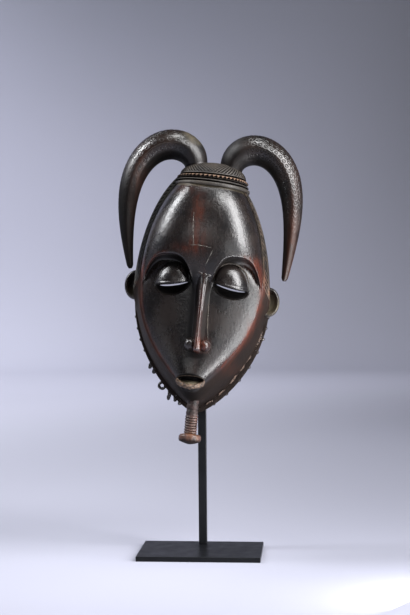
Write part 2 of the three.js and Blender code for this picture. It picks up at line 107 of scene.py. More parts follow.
def openFan(pole, row):
    return np.stack([np.full(len(row) - 1, pole), row[:-1], row[1:]], axis=-1)


# Six times the volume that the faces enclose: its sign says whether they point outwards
def signedVolume(points, quads, triangles):
    faces = np.vstack([quads[:, [0, 1, 2]], quads[:, [0, 2, 3]], triangles])
    a, b, c = points[faces[:, 0]], points[faces[:, 1]], points[faces[:, 2]]
    return np.einsum("ij,ij->i", a, np.cross(b, c)).sum()


# Faces turned round where they enclose a negative volume
def outward(points, quads, triangles):
    quads = np.asarray(quads, int).reshape(-1, 4)
    triangles = np.asarray(triangles, int).reshape(-1, 3)
    centred = points - points.mean(axis=0)
    if signedVolume(centred, quads, triangles) < 0:
        quads, triangles = quads[:, ::-1], triangles[:, ::-1]
    return points, quads, triangles


# Tube: rows of points round a path, its two ends closed by a middle point each
def tubeShell(rows):
    rings, sides = rows.shape[:2]
    points = np.vstack([rows.reshape(-1, 3), rows[0].mean(axis=0), rows[-1].mean(axis=0)])
    numbers = np.arange(rings * sides).reshape(rings, sides)
    triangles = np.vstack([fan(rings * sides, numbers[0]), fan(rings * sides + 1, numbers[-1][::-1])])
    return outward(points, gridQuads(numbers, closedColumns=True), triangles)


# Ring: a profile carried round a closed path
def ringShell(rows):
    count, sides = rows.shape[:2]
    numbers = np.arange(count * sides).reshape(count, sides)
    return outward(rows.reshape(-1, 3), gridQuads(numbers, True, True), np.zeros((0, 3), int))


# Egg-shaped ball: its columns run from pole to pole
def ballShell(centre, radii, columns=48, rows=32):
    around = np.linspace(0, 2 * math.pi, columns, endpoint=False)
    down = np.linspace(0, math.pi, rows + 2)[1:-1, None]
    u = centre[0] + radii[0] * np.sin(down) * np.cos(around)
    depth = centre[1] + radii[1] * np.sin(down) * np.sin(around)
    w = centre[2] + radii[2] * np.cos(down) + 0 * around
    return tubeShell(toWorld(u, depth, w))


# Several shells as one: the vertex numbers of each are moved past those before it
def joinShells(shells):
    points, quads, triangles, start = [], [], [], 0
    for shellPoints, shellQuads, shellTriangles in shells:
        points.append(shellPoints)
        quads.append(shellQuads + start)
        triangles.append(shellTriangles + start)
        start += len(shellPoints)
    return np.vstack(points), np.vstack(quads), np.vstack(triangles)


def setAttribute(mesh, name, values):
    attribute = mesh.attributes.new(name, "FLOAT", "POINT")
    attribute.data.foreach_set("value", np.asarray(values, np.float32))


sharpEdge = 40  # degrees between two faces from which an edge shows as sharp


# One finished piece: its mesh, material, the node that it stands for and the body that carries it
def makePiece(name, shell, material, node, sharpAngle=sharpEdge, attributes=None):
    points, quads, triangles = shell
    mesh = bpy.data.meshes.new(name)
    mesh.from_pydata(points.tolist(), [], quads.tolist() + triangles.tolist())
    mesh.update()
    mesh.shade_smooth()
    mesh.set_sharp_from_angle(angle=math.radians(sharpAngle))
    for key, values in (attributes or {}).items():
        setAttribute(mesh, key, values)
    mesh.materials.append(material)
    piece = bpy.data.objects.new(name, mesh)
    bpy.context.scene.collection.objects.link(piece)
    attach(piece, "root")
    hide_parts(node)
    return piece


# Shape of the head: the same formulas as the solids, on a finer grid
face = {
    "halfWidth": 73.5, "level": -2.5, "top": 139, "bottom": 130, "offset": -2.9, "skew": -0.013,
    "chinPower": 2.12, "chinRoundness": 0.96, "edgeDepth": 44, "chinDepthGain": 13, "topDepthLoss": 7,
    "endTaper": 20, "blunt": 6.5,
}
rim = {
    "halfWidth": 83, "level": -24, "top": 168.5, "bottom": 135.6, "offset": -1.75, "skew": 0.026,
    "chinPower": 1.9, "chinRoundness": 0.75, "collarThickness": 6, "blunt": 0,
    # Side wall from the face's edge: blend towards the rim and drop in depth, above and below the ears
    "profile": [
        (0.03, -0.3, 0.02, -0.5), (0.2, -1.4, 0.1, -4), (0.4, -3, 0.2, -8.5), (0.6, -4.8, 0.32, -14),
        (0.8, -6.4, 0.42, -20), (0.93, -8, 0.52, -25.5), (1.0, -10, 0.6, -31), (1.0, -14, 0.66, -36),
        (1.0, -19, 0.72, -41),
    ],
    "highDrop": (16, 26), "lowDrop": (9, 41),  # edge depth without a drop, and what is added for a full one
    "step": [(0.725, 10, 8.2), (0.76, 8, 6)],  # blend below the ears, depth above and below them
    "collarEdge": [  # blend below the ears, depth
        (0.84, 6), (0.93, 6), (0.98, 5.7), (1, 4.8), (1, 3), (1, 0.8), (0.985, 0.1), (0.95, 0),
    ],
    "back": [(0.03, 0.0), (0.65, 0.0), (0.94, 0.3), (1.0, 1.4)],  # share of the wall's thickness, depth
    "innerShares": (0.2, 0.45, 0.7, 0.9), "innerCurve": 1.3,
}
forehead = {"level": 52, "halfHeight": 84, "base": 33.5, "bulge": 50, "power": 2.8, "roundness": 0.7}
cheek = {"depth": 64, "power": 2.6, "roundness": 0.94}
brow = {"left": (-41.2, 32.2, 37.6), "right": (40.2, 31.4, 39.4), "ends": -9, "power": 3.2, "lip": 3.2,
        "cove": 0.45, "coveWidth": 3.6}
mouth = {"centre": -4.5, "level": -117, "halfWidth": 17.5, "muzzle": 3}
hollow = {"foreheadDepth": 68, "cheekDepth": 51, "power": 2.4, "roundness": 0.8, "wall": 9, "front": 12}
eyeSlit = {"centre": 34, "level": -5.8, "length": 35, "height": 1.7, "slope": 10, "sag": 1.2}


# Half width of an egg: elliptical above its widest level, narrowing to a blunt point below it
def eggHalfWidth(shape, w):
    rise = clamp01((w - shape["level"]) / shape["top"])
    fall = clamp01((shape["level"] - w) / shape["bottom"])
    below = (1 - fall ** shape["chinPower"]) ** shape["chinRoundness"]
    left = (1 - fall) * shape["bottom"]
    end = shape["blunt"] * np.sqrt(np.minimum(1, left / 3.5)) * np.exp(-left / 9)
    return shape["halfWidth"] * np.sqrt(1 - rise * rise) * below + end


# Middle of an outline at a level: the rim leans over its whole height, the face only below the ears
def centreAt(shape, w):
    return shape["offset"] - shape["skew"] * np.where(shape["skew"] < 0, np.minimum(w, 0), w)


# How far a point is outside the face's edge (negative inside it)
def offEdge(u, w):
    return np.abs(u - centreAt(face, w)) - eggHalfWidth(face, w)


# Depth of the face's edge: it comes forward to the chin and falls back to the top, with the square
# of the height
def edgeDepthAt(w):
    change = np.where(w < 0, face["chinDepthGain"], -face["topDepthLoss"])
    return face["edgeDepth"] + change * (w / face["bottom"]) ** 2


# How far the surface has risen to its full depth, from none along the face's edge
def fullness(u, w, shape, inset=0):
    half = eggHalfWidth(face, w) - inset
    share = clamp01(np.abs(u - centreAt(face, w)) / np.maximum(half, 1))
    return np.sqrt(clamp01(half / face["endTaper"])) * (1 - share ** shape["power"]) ** shape["roundness"]


# Face below the brows without its hollows: what the lids, nose and lips stand on
def plainDepth(u, w):
    edge = edgeDepthAt(w)
    return edge + (cheek["depth"] - edge) * fullness(u, w, cheek)


# Forehead: its crest is the upper part of an ellipse up the middle, and it falls to the edge on both
# sides; at the level of the brows it blends into the face
def foreheadDepth(u, w):
    rise = (w - forehead["level"]) / forehead["halfHeight"]
    crest = forehead["base"] + forehead["bulge"] * np.sqrt(np.maximum(0, 1 - rise * rise))
    edge = edgeDepthAt(w)
    depth = edge + np.maximum(0, crest - edge) * fullness(u, w, forehead)
    return mix(plainDepth(u, w), depth, smoothStep(-12, 9, w))


# Arch of the brow over each eye, steep towards both of its ends
def browLevel(u):
    centre, reach, rise = (np.where(u < 0, left, right) for left, right in zip(brow["left"], brow["right"]))
    away = np.minimum(1, np.abs(u - centre) / reach)
    return brow["ends"] + rise * (1 - away ** brow["power"])


# Height of a slit's line: it slopes down outwards and sags a little
def slitLine(u, outwardSide):
    run = u - outwardSide * eyeSlit["centre"]
    sag = eyeSlit["sag"] * (1 - (2 * run / eyeSlit["length"]) ** 2)
    return eyeSlit["level"] + 0.4 - outwardSide * run * math.tan(math.radians(eyeSlit["slope"])) - sag


# Scoop under one slit: a bowl that starts steeply below the lid and fades downwards
def underEyeHollow(u, w, side, settings):
    across = (u - settings["centre"]) / settings["halfWidth"]
    down = (slitLine(u, side) + settings["start"] - w) / settings["height"]
    bowl = np.maximum(0, 1 - across ** 2 - np.maximum(down, 0) ** 2) ** 0.7
    return settings["depth"] * bowl * smoothStep(-0.15, 0.08, down)


underEyeLeft = {"centre": -35.5, "halfWidth": 22, "height": 14, "depth": 7, "start": 1.2}
underEyeRight = {"centre": 33, "halfWidth": 23, "height": 13.5, "depth": 7.5, "start": 1.2}
socket = {"depth": 4.5, "width": 9.5}
mouthPocket = {"centre": -4.3, "level": -117.2, "halfWidth": 15.5, "up": 4.0, "down": 7, "depth": 8}


# Face below the brows: a long shallow dome, the muzzle, the hollows under the eyes and the open mouth
def cheekDepth(u, w):
    edge = edgeDepthAt(w)
    across = (u - mouth["centre"]) / mouth["halfWidth"]
    up = (w - mouth["level"]) / mouth["halfWidth"]
    depth = edge + (cheek["depth"] - edge) * fullness(u, w, cheek)
    depth = depth + mouth["muzzle"] * np.exp(-(across ** 2) - up ** 2)
    depth = depth - underEyeHollow(u, w, -1, underEyeLeft) - underEyeHollow(u, w, 1, underEyeRight)
    # A channel follows the brow round the lid
    below = (browLevel(u) - w) / socket["width"]
    inside = smoothStep(0, 9, -offEdge(u, w))
    depth = depth - socket["depth"] * np.exp(-below ** 2) * smoothStep(-14, 6, w) * inside
    pocket = mouthPocket
    reach = np.where(w > pocket["level"], pocket["up"], pocket["down"])
    far = ((u - pocket["centre"]) / pocket["halfWidth"]) ** 2 + ((w - pocket["level"]) / reach) ** 2
    steep = mix(0.35, 1, smoothStep(-5.5, 1, w - pocket["level"]))
    return depth - pocket["depth"] * steep * smoothStep(1.15, 0.35, far)


# Front of the hollow: the face's formula a wall's thickness further back, deeper behind the forehead
def hollowDepth(u, w):
    edge = edgeDepthAt(w) - hollow["front"]
    above = smoothStep(-5, 60, w) * smoothStep(128, 85, w)
    crest = mix(hollow["cheekDepth"], hollow["foreheadDepth"], above)
    return edge + np.maximum(0, crest - edge) * fullness(u, w, hollow, hollow["wall"])


headGrid = {"columns": 170, "cheekRows": 200, "lipRows": 12, "foreheadRows": 96, "innerColumns": 56}


# Front of the head: shares across the face against levels that bend with the brows. The rows go
# up the cheeks, out over the brows' rounded lip and on over the forehead.
def headFront():
    g = headGrid
    spread = np.linspace(-1, 1, g["columns"] + 1)[None, :]
    share = mix(spread, np.sin(0.5 * math.pi * spread), 0.35)
    bottom, top = face["level"] - face["bottom"], face["level"] + face["top"]
    low = (np.arange(1, g["cheekRows"] + 1) / g["cheekRows"])[:, None] ** 0.9
    high = (np.arange(1, g["foreheadRows"]) / g["foreheadRows"])[:, None]
    turn = (np.arange(g["lipRows"] + 1) / g["lipRows"])[:, None] * 0.5 * math.pi
    lip = brow["lip"]

    def place(levelAt):
        u = share * face["halfWidth"]
        w = levelAt(u)
        for settling in range(10):
            u = centreAt(face, w) + share * eggHalfWidth(face, w)
            w = levelAt(u)
        return u, w

    u, w = place(lambda u: mix(bottom, browLevel(u), low))
    cheeks = np.stack([u, cheekDepth(u, w), w], axis=-1)
    u, w = place(lambda u: mix(browLevel(u) + lip, top, high))
    brows = np.stack([u, foreheadDepth(u, w), w], axis=-1)

    # The socket curves forwards under the brow
    def coved(u, w, depth):
        step = np.maximum(0, foreheadDepth(u, browLevel(u) + lip) - cheekDepth(u, browLevel(u)))
        return depth + brow["cove"] * step * np.exp(-((browLevel(u) - w) / brow["coveWidth"]) ** 1.5)

    underBrow = np.minimum(cheeks[..., 2], browLevel(cheeks[..., 0]))
    cheeks[..., 1] = coved(cheeks[..., 0], underBrow, cheeks[..., 1])
    # The lip turns from the socket's surface, forwards and up, into the forehead
    u, w = place(lambda u: browLevel(u) + lip * (1 - np.cos(turn)))
    behind = coved(u, browLevel(u), cheekDepth(u, browLevel(u)))
    front = foreheadDepth(u, browLevel(u) + lip)
    rounding = np.minimum(lip, np.maximum(0, front - behind) * 0.5)
    depth = front - rounding * (1 - np.sin(turn))
    straight = np.stack([u[0], mix(behind[0], depth[0], 0.5), w[0]], axis=-1)[None]
    lips = np.stack([u, depth, w], axis=-1)
    return np.concatenate([cheeks, straight, lips, brows])


# Inner front of the hollow, on the same levels, and a few tool marks
def headInside(levels):
    spread = np.linspace(-1, 1, headGrid["innerColumns"] + 1)[None, :]
    w = face["level"] + (levels - face["level"]) * (1 - hollow["wall"] / face["top"])
    u = face["offset"] + spread * np.maximum(eggHalfWidth(face, w) - hollow["wall"], 1.5)
    marks = 0.5 * np.abs(np.sin(w / 6.3 + 1.7 * np.sin(u / 17))) * np.abs(np.sin(u / 9 + 2 * np.sin(w / 40)))
    depth = hollowDepth(u, w) - marks * (1 - spread ** 2)
    return np.stack([u, depth, w + 0 * spread], axis=-1)


# Side wall, from the face's edge (0) to the back rim (1) and its depth. Above the ears it drops
# straight back from a narrow band; below them it slopes out to a thin collar.
def wallRows(edge):
    w = edge[:, 2]
    low = smoothStep(10, -35, w)
    reach = np.where(w > face["level"], rim["top"] / face["top"], rim["bottom"] / face["bottom"])
    rimW = rim["level"] + (w - face["level"]) * reach
    side = np.sign(edge[:, 0] - face["offset"])
    rimU = centreAt(rim, rimW) + side * eggHalfWidth(rim, rimW)
    edgeDepth = edgeDepthAt(w)
    (highFrom, highOver), (lowFrom, lowOver) = rim["highDrop"], rim["lowDrop"]
    rows = []
    for blendHigh, dropHigh, blendLow, dropLow in rim["profile"]:
        drop = mix(dropHigh * (edgeDepth - highFrom) / highOver, dropLow * (edgeDepth - lowFrom) / lowOver, low)
        rows.append((mix(blendHigh, blendLow, low), edgeDepth + drop))
    rows += [(mix(1, blend, low), mix(high, below, low)) for blend, high, below in rim["step"]]
    rows += [(mix(1, blend, low), np.full(len(w), float(depth))) for blend, depth in rim["collarEdge"]]
    return [
        np.stack([mix(edge[:, 0], rimU, blend), depth, mix(w, rimW, blend)], axis=-1)
        for blend, depth in rows
    ]


# Head: the front, the side wall, the rim's flat back with its rounded inner edge, and the hollow's
# wall and front, joined row by row into one closed skin
def headShell():
    front = headFront()
    grid = np.arange(front.shape[0] * front.shape[1]).reshape(front.shape[:2])
    bottom, top = face["level"] - face["bottom"], face["level"] + face["top"]
    lowPole, highPole = grid.size, grid.size + 1
    outer = np.vstack([
        front.reshape(-1, 3), [centreAt(face, bottom), edgeDepthAt(bottom), bottom],
        [face["offset"], edgeDepthAt(top), top]])
    # Border of the front: bottom pole, up the right side, top pole, down the left side
    border = np.concatenate([[lowPole], grid[:, -1], [highPole], grid[::-1, 0]])
    wall = wallRows(outer[border])

    inside = headInside(np.linspace(front[0, 0, 2], front[-1, 0, 2], len(front))[:, None])
    innerGrid = np.arange(inside.shape[0] * inside.shape[1]).reshape(inside.shape[:2])
    innerLow, innerHigh = innerGrid.size, innerGrid.size + 1
    innerPoles = [
        [face["offset"], inside[row, :, 1].min() - 1, inside[row, 0, 2] + beyond]
        for row, beyond in ((0, -1.5), (-1, 1.5))
    ]
    inner = np.vstack([inside.reshape(-1, 3), innerPoles])
    innerBorder = np.concatenate([[innerLow], innerGrid[:, -1], [innerHigh], innerGrid[::-1, 0]])

    span = np.array([rim["halfWidth"], rim["top"]])
    centre = np.array([rim["offset"], rim["level"]])
    outerRim = wall[-1][:, [0, 2]]
    for share, depth in rim["back"]:
        across = centre + (outerRim - centre) * (1 - share * hollow["wall"] / span)
        wall.append(np.stack([across[:, 0], np.full(len(across), depth), across[:, 1]], axis=-1))
    innerRim, innerEdge = wall[-1], inner[innerBorder]
    for share in rim["innerShares"]:
        row = mix(innerRim, innerEdge, share)
        row[:, 0] = mix(innerRim[:, 0], innerEdge[:, 0], share ** rim["innerCurve"])
        wall.append(row)

    wallNumbers = len(outer) + np.arange(len(wall) * len(border)).reshape(len(wall), -1)
    innerStart = len(outer) + wallNumbers.size
    skin = np.vstack([border, wallNumbers, innerBorder + innerStart])
    quads = [gridQuads(grid)[:, ::-1], gridQuads(skin, closedColumns=True), gridQuads(innerGrid + innerStart)]
    triangles = [
        openFan(lowPole, grid[0])[:, ::-1], openFan(highPole, grid[-1]),
        openFan(innerLow, innerGrid[0]) + innerStart, openFan(innerHigh, innerGrid[-1])[:, ::-1] + innerStart,
    ]
    return outward(gridToWorld(np.vstack([outer, *wall, inner])), np.vstack(quads), np.vstack(triangles))


# Plain surface of the whole front, for the lines that lie on it
def frontDepth(u, w):
    return np.where(w > browLevel(u) + 1, foreheadDepth(u, w), plainDepth(u, w))


# Wear and dirt: how much red-brown shows through the black (mask millimetres, by smooth spots)
wearSpots = [
    # u, w, reach across, reach up, strength
    (-11, 80, 7, 24, 0.5), (-9, 48, 10, 14, 0.45), (-24, 36, 14, 6, 0.4), (-30, 108, 10, 7, 0.3),
    (57, 27, 8, 6, 0.9), (64, 18, 5, 8, 0.8), (1, -40, 3, 40, 0.6), (1.5, -76, 5, 9, 0.8),
    (10, -76, 5, 7, 0.8), (-1, -186, 14, 7, 0.65), (-1, -170, 10, 10, 0.35), (-88, 118, 11, 34, 0.8),
    (-93, 70, 5, 40, 0.5), (-60, 128, 12, 10, 0.35), (101, 60, 6, 60, 0.8), (88, -8, 8, 18, 0.9),
    (40, -101, 14, 9, 0.35), (60, -50, 4, 14, 0.3),
]


# Red-brown line along the face's edge: broad outside it on the right, narrow inside it on the left
def edgeWear(u, w):
    away = offEdge(u, w)
    right = 1.3 * np.exp(-((away - 1.4) / 3.2) ** 2) * smoothStep(26, 6, w) * smoothStep(-112, -84, w)
    left = 1.2 * np.exp(-((away + 1.6) / 2.4) ** 2) * smoothStep(30, 10, w) * smoothStep(-122, -104, w)
    brows = 0.7 * np.exp(-((w - browLevel(u) - 2) / 2.2) ** 2) * smoothStep(38, 58, np.abs(u))
    return np.maximum(np.where(u > 0, right, left), brows)


# Sum of the spots, each falling off as exp(-distance squared), and of the edge's line
def wearAt(points):
    u, depth, w = toMask(points)
    total = edgeWear(u, w)
    for spotU, spotW, acrossReach, upReach, strength in wearSpots:
        total += strength * np.exp(-((u - spotU) / acrossReach) ** 2 - ((w - spotW) / upReach) ** 2)
    return clamp01(total) * smoothStep(2, 22, depth)


# How far a point is off the smooth face, over its edge and down the rough side (0 to 1). On the left
# the dull surface starts a little inside the edge.
def sideAt(points):
    u, depth, w = toMask(points)
    away = offEdge(u, w)
    inside = 4 * smoothStep(20, 0, w) * (u < 0)
    return smoothStep(-0.5, 3, away + inside)


# Painted shade: black painted into the hollows under the brows and slits, in the mouth's upper part, below and
# left of the nose, and on the chin below the lips
def paintedShadeAt(points):
    u, depth, w = toMask(points)
    under = underEyeHollow(u, w, -1, underEyeLeft) / underEyeLeft["depth"]
    under = under + underEyeHollow(u, w, 1, underEyeRight) / underEyeRight["depth"]
    upper = smoothStep(1.15, 0.85, mouthReach(u, w)) * smoothStep(-4.5, 0.5, w - mouthPocket["level"])
    nose = 0.8 * smoothStep(1.2, 0.5, np.hypot((u - 1.5) / 13, (w + 88) / 5))
    nose = nose + 0.6 * np.exp(-((u + 9.5) / 3.5) ** 2) * smoothStep(-80, -60, w) * smoothStep(20, 8, w)
    chin = 0.7 * np.exp(-((u - mouth["centre"]) / 20) ** 2) * smoothStep(-122, -127, w)
    below = browLevel(u) - w
    arch = 0.5 * smoothStep(-1.5, 1, below) * smoothStep(8, 2, below) * smoothStep(-8, 6, w)
    arch = arch * smoothStep(2, 14, -offEdge(u, w))
    return clamp01(smoothStep(0.05, 0.5, under) + upper + nose + arch + chin) * smoothStep(30, 40, depth)


# Distance from the mouth's middle: 1 at its outline
def mouthReach(u, w):
    pocket = mouthPocket
    return np.hypot((u - pocket["centre"]) / pocket["halfWidth"], (w - pocket["level"]) / pocket["down"])


# Pale ochre dirt (mask millimetres): on the left horn's top and in the right ear
stainSpots = [
    # u, w, reach, strength
    (-27, 173, 6, 0.9), (-35, 178, 5, 0.5), (-20, 168, 4, 0.6), (84, -20, 10, 1.0), (-84, -16, 5, 0.3),
]


# Sum of round spots, in front of the back only
def stainAt(points):
    u, depth, w = toMask(points)
    total = 0 * u
    for spotU, spotW, reach, strength in stainSpots:
        total += strength * np.exp(-(((u - spotU) ** 2 + (w - spotW) ** 2) / reach ** 2))
    return clamp01(total) * smoothStep(8, 20, depth)


# Olive crust on the forehead just below the coiffure; inside the lower lip a tan that is partly the lip's
# colour and partly painted light on its inner shelf
def crustAndLipLightAt(points):
    u, depth, w = toMask(points)
    level = cap["profile"][0][0] - cap["tilt"] * u
    crust = smoothStep(2.4, 0.5, np.abs(w - level + 0.5)) * 0.5
    lipTanAndLight = smoothStep(1.1, 0.8, mouthReach(u, w)) * smoothStep(-1, -4.5, w - mouthPocket["level"])
    return np.maximum(crust, lipTanAndLight) * smoothStep(20, 30, depth)


# Path through a few points, evenly stepped, with rounded bends
def smoothPath(keys, count):
    keys = np.asarray(keys, float)
    padded = np.vstack([2 * keys[0] - keys[1], keys, 2 * keys[-1] - keys[-2]])
    place = np.linspace(0, len(keys) - 1 - 1e-9, count)
    index = place.astype(int)
    t = (place - index)[:, None]
    a, b, c, d = (padded[index + n] for n in range(4))
    return 0.5 * (2 * b + (c - a) * t + (2 * a - 5 * b + 4 * c - d) * t ** 2 + (3 * b - a - 3 * c + d) * t ** 3)


# Raised line on the front: a half-buried oval cord along a path of (u, w), tapering at both ends
def raisedLine(keys, halfWidth, proud, count=90, sides=12, lift=0.0, depthAt=frontDepth):
    path = smoothPath(keys, count)
    along = np.gradient(path, axis=0)
    along /= np.linalg.norm(along, axis=1)[:, None]
    taper = np.sqrt(np.sin(np.linspace(0.04, math.pi - 0.04, count)))[:, None] ** 0.6
    angle = np.linspace(0, 2 * math.pi, sides, endpoint=False)[None, :]
    side = halfWidth * np.cos(angle) * taper
    u = path[:, :1] - along[:, 1:] * side
    w = path[:, 1:] + along[:, :1] * side
    depth = depthAt(path[:, :1], path[:, 1:]) + lift + proud * np.sin(angle) * taper
    return tubeShell(toWorld(u, depth, w))


# Eyelids: upper halves of domes that end at the slits
lids = {
    -1: {"centre": -36.8, "halfWidth": 20.6, "height": 27.0},
    1: {"centre": 34.6, "halfWidth": 20.2, "height": 28.0},
}
lid = {"proud": 11.5, "buried": 7, "margin": 0.5, "groove": 0.35, "columns": 119, "rows": 60, "underRows": 8}


# Eyelid: across the eye, a section that comes down the dome (a quarter ellipse with a groove and a
# narrow raised margin at its foot), turns under it and goes back into the wood
def lidShell(side):
    shape = lids[side]
    across = -np.cos(np.linspace(0, math.pi, lid["columns"]))[1:-1, None]
    size = np.sqrt(1 - across ** 2)
    arc = np.linspace(0.5 * math.pi, 0, lid["rows"])[None, :]
    u = shape["centre"] + across * shape["halfWidth"] + 0 * arc
    base = slitLine(u, side) + 1.3
    up = shape["height"] * size * np.sin(arc)
    out = lid["proud"] * size ** 1.2 * np.cos(arc) ** 1.15
    out = out + lid["margin"] * size * np.exp(-((up - 1.1) / 1.0) ** 2)
    out = out - lid["groove"] * size * np.exp(-((up - 2.9) / 0.7) ** 2)
    w = base + up
    dome = np.stack([u, plainDepth(u, w) - socket["depth"] * 0.5 * np.sin(arc) ** 2 + out, w], axis=-1)
    foot = dome[:, -1:]
    inside = plainDepth(u[:, :1], base[:, :1]) - lid["buried"]
    under = np.linspace(0, 1, lid["underRows"])[None, 1:]
    underDepth = mix(foot[..., 1] - 0.7, inside, under)
    underside = np.stack([u[:, :1] + 0 * under, underDepth, base[:, :1] - 0.7 + 0 * under], axis=-1)
    backTop = np.stack([u[:, :1], inside, w[:, :1]], axis=-1)
    rows = np.concatenate([dome, underside, backTop], axis=1)
    return tubeShell(gridToWorld(rows))


# Nose
nose = {
    "keys": [
        # w, centre, half width of the ridge, half width at the face, how far it stands proud
        (17, 1.0, 5.0, 15.0, 9.5), (8, 1.8, 3.6, 13.0, 11.0), (-5, 2.2, 2.6, 10.5, 12.5),
        (-30, 1.9, 2.0, 8.6, 16.5), (-58, 1.4, 2.0, 8.4, 21.0), (-72, 1.3, 2.6, 8.4, 23.5),
        (-80, 1.3, 3.4, 8.0, 24.0),
    ],
    "tipDrop": 6, "buried": 8, "tickPitch": 2.1, "tickDepth": 0.45, "rows": 170, "tipRows": 22, "columns": 61,
}
nostrils = [
    # u, w, radii across, out and up
    (-7.4, -75.6, 7.6, 11.0, 7.8), (9.6, -76.2, 7.6, 11.0, 7.6),
]


# Fine cuts across the left half of the ridge's upper part
def noseTicks(x, w):
    cut = smoothStep(0.55, 1, np.abs(np.cos(math.pi * (w + 0.5 * x) / nose["tickPitch"])))
    shown = smoothStep(-44, -34, w) * smoothStep(-6, -12, w) * smoothStep(0.4, -1.2, x) * smoothStep(-6, -4, x)
    return -nose["tickDepth"] * cut * shown


# Nose: trapezoid sections with rounded shoulders, set along the ridge, the last ones closing the tip
def noseShell():
    keys = np.array(nose["keys"])[::-1]
    levels = np.linspace(keys[-1, 0], keys[0, 0], nose["rows"])
    centre, ridge, foot, proud = (np.interp(levels, keys[:, 0], keys[:, n]) for n in range(1, 5))
    turn = np.linspace(0, 0.5 * math.pi, nose["tipRows"])[1:]
    levels = np.concatenate([levels, levels[-1] - nose["tipDrop"] * np.sin(turn)])
    shrink = np.concatenate([np.ones(nose["rows"]), np.cos(turn) ** 0.7 * 0.96 + 0.04])
    centre, ridge, foot, proud = (
        np.append(row, np.full(len(turn), row[-1])) for row in (centre, ridge, foot, proud))
    across = np.linspace(-1, 1, nose["columns"])[None, :]
    spread = mix(across, np.sin(0.5 * math.pi * across), 0.3)
    x = foot[:, None] * spread
    ridgeHalf = ridge[:, None]
    fall = smoothStep(0, 1, clamp01((np.abs(x) - ridgeHalf) / (foot[:, None] - ridgeHalf)))
    crease = 0.5 * np.exp(-((x - 0.3) / 1.1) ** 2) + noseTicks(x, levels[:, None])
    # The ridge slopes down on its right side: a narrow plane above, broad near the tip
    slope = mix(1.2, 3.4, smoothStep(-25, -60, levels))[:, None]
    height = (proud[:, None] * (1 - fall ** 0.85) + crease - 0.8 * np.clip(x - 0.2, 0, slope)) * shrink[:, None]
    u = centre[:, None] + x * (0.35 + 0.65 * shrink[:, None])
    w = levels[:, None] + 0 * x
    floor = plainDepth(u, w)
    front = np.stack([u, np.maximum(floor + height, floor - 1), w], axis=-1)
    back = front[:, [-1, 0]] - np.array([0, nose["buried"], 0])
    rows = np.concatenate([front, back], axis=1)
    return tubeShell(gridToWorld(rows))


# The nose's flanks are painted darker and duller beside the worn ridge: partly black wood, partly painted shade
def flankAt(points):
    u, depth, w = toMask(points)
    keys = np.array(nose["keys"])[::-1]
    away = u - np.interp(w, keys[:, 0], keys[:, 1])
    ridge = np.interp(w, keys[:, 0], keys[:, 2])
    flank = np.maximum(smoothStep(0.4, 1.6, away - ridge), smoothStep(0.2, 1.4, -away - ridge))
    return 0.35 * flank * smoothStep(-80, -68, w)


# Nose wings: two balls, half sunk into the face
def nostrilShells():
    return joinShells([
        ballShell((u, cheek["depth"] + 9, w), (radiusAcross, radiusOut, radiusUp), columns=72, rows=48)
        for u, w, radiusAcross, radiusOut, radiusUp in nostrils
    ])


# Crossed bands and a small boss where the nose meets the forehead, and the thin line beside it
rootKnot = {
    "bands": [
        [(-5.6, 10.0), (-2.6, 8.6), (0.8, 5.6), (2.6, 1.5), (2.6, -5)],
        [(10.4, 6.2), (7.4, 6.6), (4.2, 4.6), (2.0, 0), (2.2, -8)],
    ],
    "halfWidth": 1.9, "proud": 1.3, "depth": 76.0,
}
lidLine = [
    (12.4, -70), (10.2, -45), (9.8, -12), (10.2, -1.4), (13.0, 10), (19.6, 18.6), (31, 23.8), (42, 21.6),
    (50.8, 13.6), (55, 2), (54.6, -8),
]
scarLines = [
    [(-17.2, 40.3), (-8, 41), (-1.8, 40.4), (9, 38.9)],
    [(10.3, 36.7), (6.4, 26.9), (2.3, 17.4)],
    [(-15.8, 79.5), (-15.2, 60), (-12.6, 40.7)],
]


# Bands laid over the ridge, whose depth falls with the square of the height, and down on to the face
def knotShells():
    def carriedDepth(u, w):
        ridge = rootKnot["depth"] - 0.007 * (w - 2) ** 2
        return mix(ridge, frontDepth(u, w), smoothStep(3, 9, np.abs(u - 2.4)))

    shells = [
        raisedLine(keys, rootKnot["halfWidth"], rootKnot["proud"], count=60, sides=20, depthAt=carriedDepth)
        for keys in rootKnot["bands"]
    ]
    shells.append(ballShell((2.4, rootKnot["depth"] - 0.4, 6.6), (3.9, 1.9, 2.8)))
    return shells


# Lips: a flattened cord round the open mouth, thin above, full and worn ragged below
lips = {
    "centre": -4.3, "level": -117.2, "halfWidth": 16.0, "up": 4.2, "down": 8.6,
    "thinAbove": 0.6, "thickBelow": 2.9, "proudAbove": 1.4, "proudBelow": 2.9, "around": 260, "section": 28,
}


# Lips: an ellipse whose lower half is longer, carrying an oval section that thickens below. Sums of
# sines make its outer side ragged.
def lipShell():
    around = np.linspace(0, 2 * math.pi, lips["around"], endpoint=False)[:, None]
    section = np.linspace(0, 2 * math.pi, lips["section"], endpoint=False)[None, :]
    below = smoothStep(0.25, -0.65, np.sin(around))
    reach = mix(lips["up"], lips["down"], smoothStep(0.1, -0.1, np.sin(around)))
    u = lips["centre"] + lips["halfWidth"] * np.cos(around)
    w = lips["level"] + reach * np.sin(around)
    ragged = 0.35 * np.sin(around * 7 + 1.5 * np.sin(around * 4)) + 0.2 * np.sin(around * 19 + section * 3)
    ragged = ragged + 0.07 * np.sin(around * 61 + 5 * np.sin(section * 3))
    thick = mix(lips["thinAbove"], lips["thickBelow"] + ragged * below, below)
    proud = mix(lips["proudAbove"], lips["proudBelow"], below)
    outU, outW = np.cos(around), np.sin(around) * 1.4
    size = np.sqrt(outU ** 2 + outW ** 2)
    side = thick * np.cos(section)
    depth = plainDepth(u, w) + mouth["muzzle"] - 0.8 + proud * np.sin(section)
    shell = ringShell(toWorld(u + outU / size * side, depth, w + outW / size * side))
    return shell, (smoothStep(-0.3, 0.2, np.sin(around)) + 0 * section).reshape(-1)


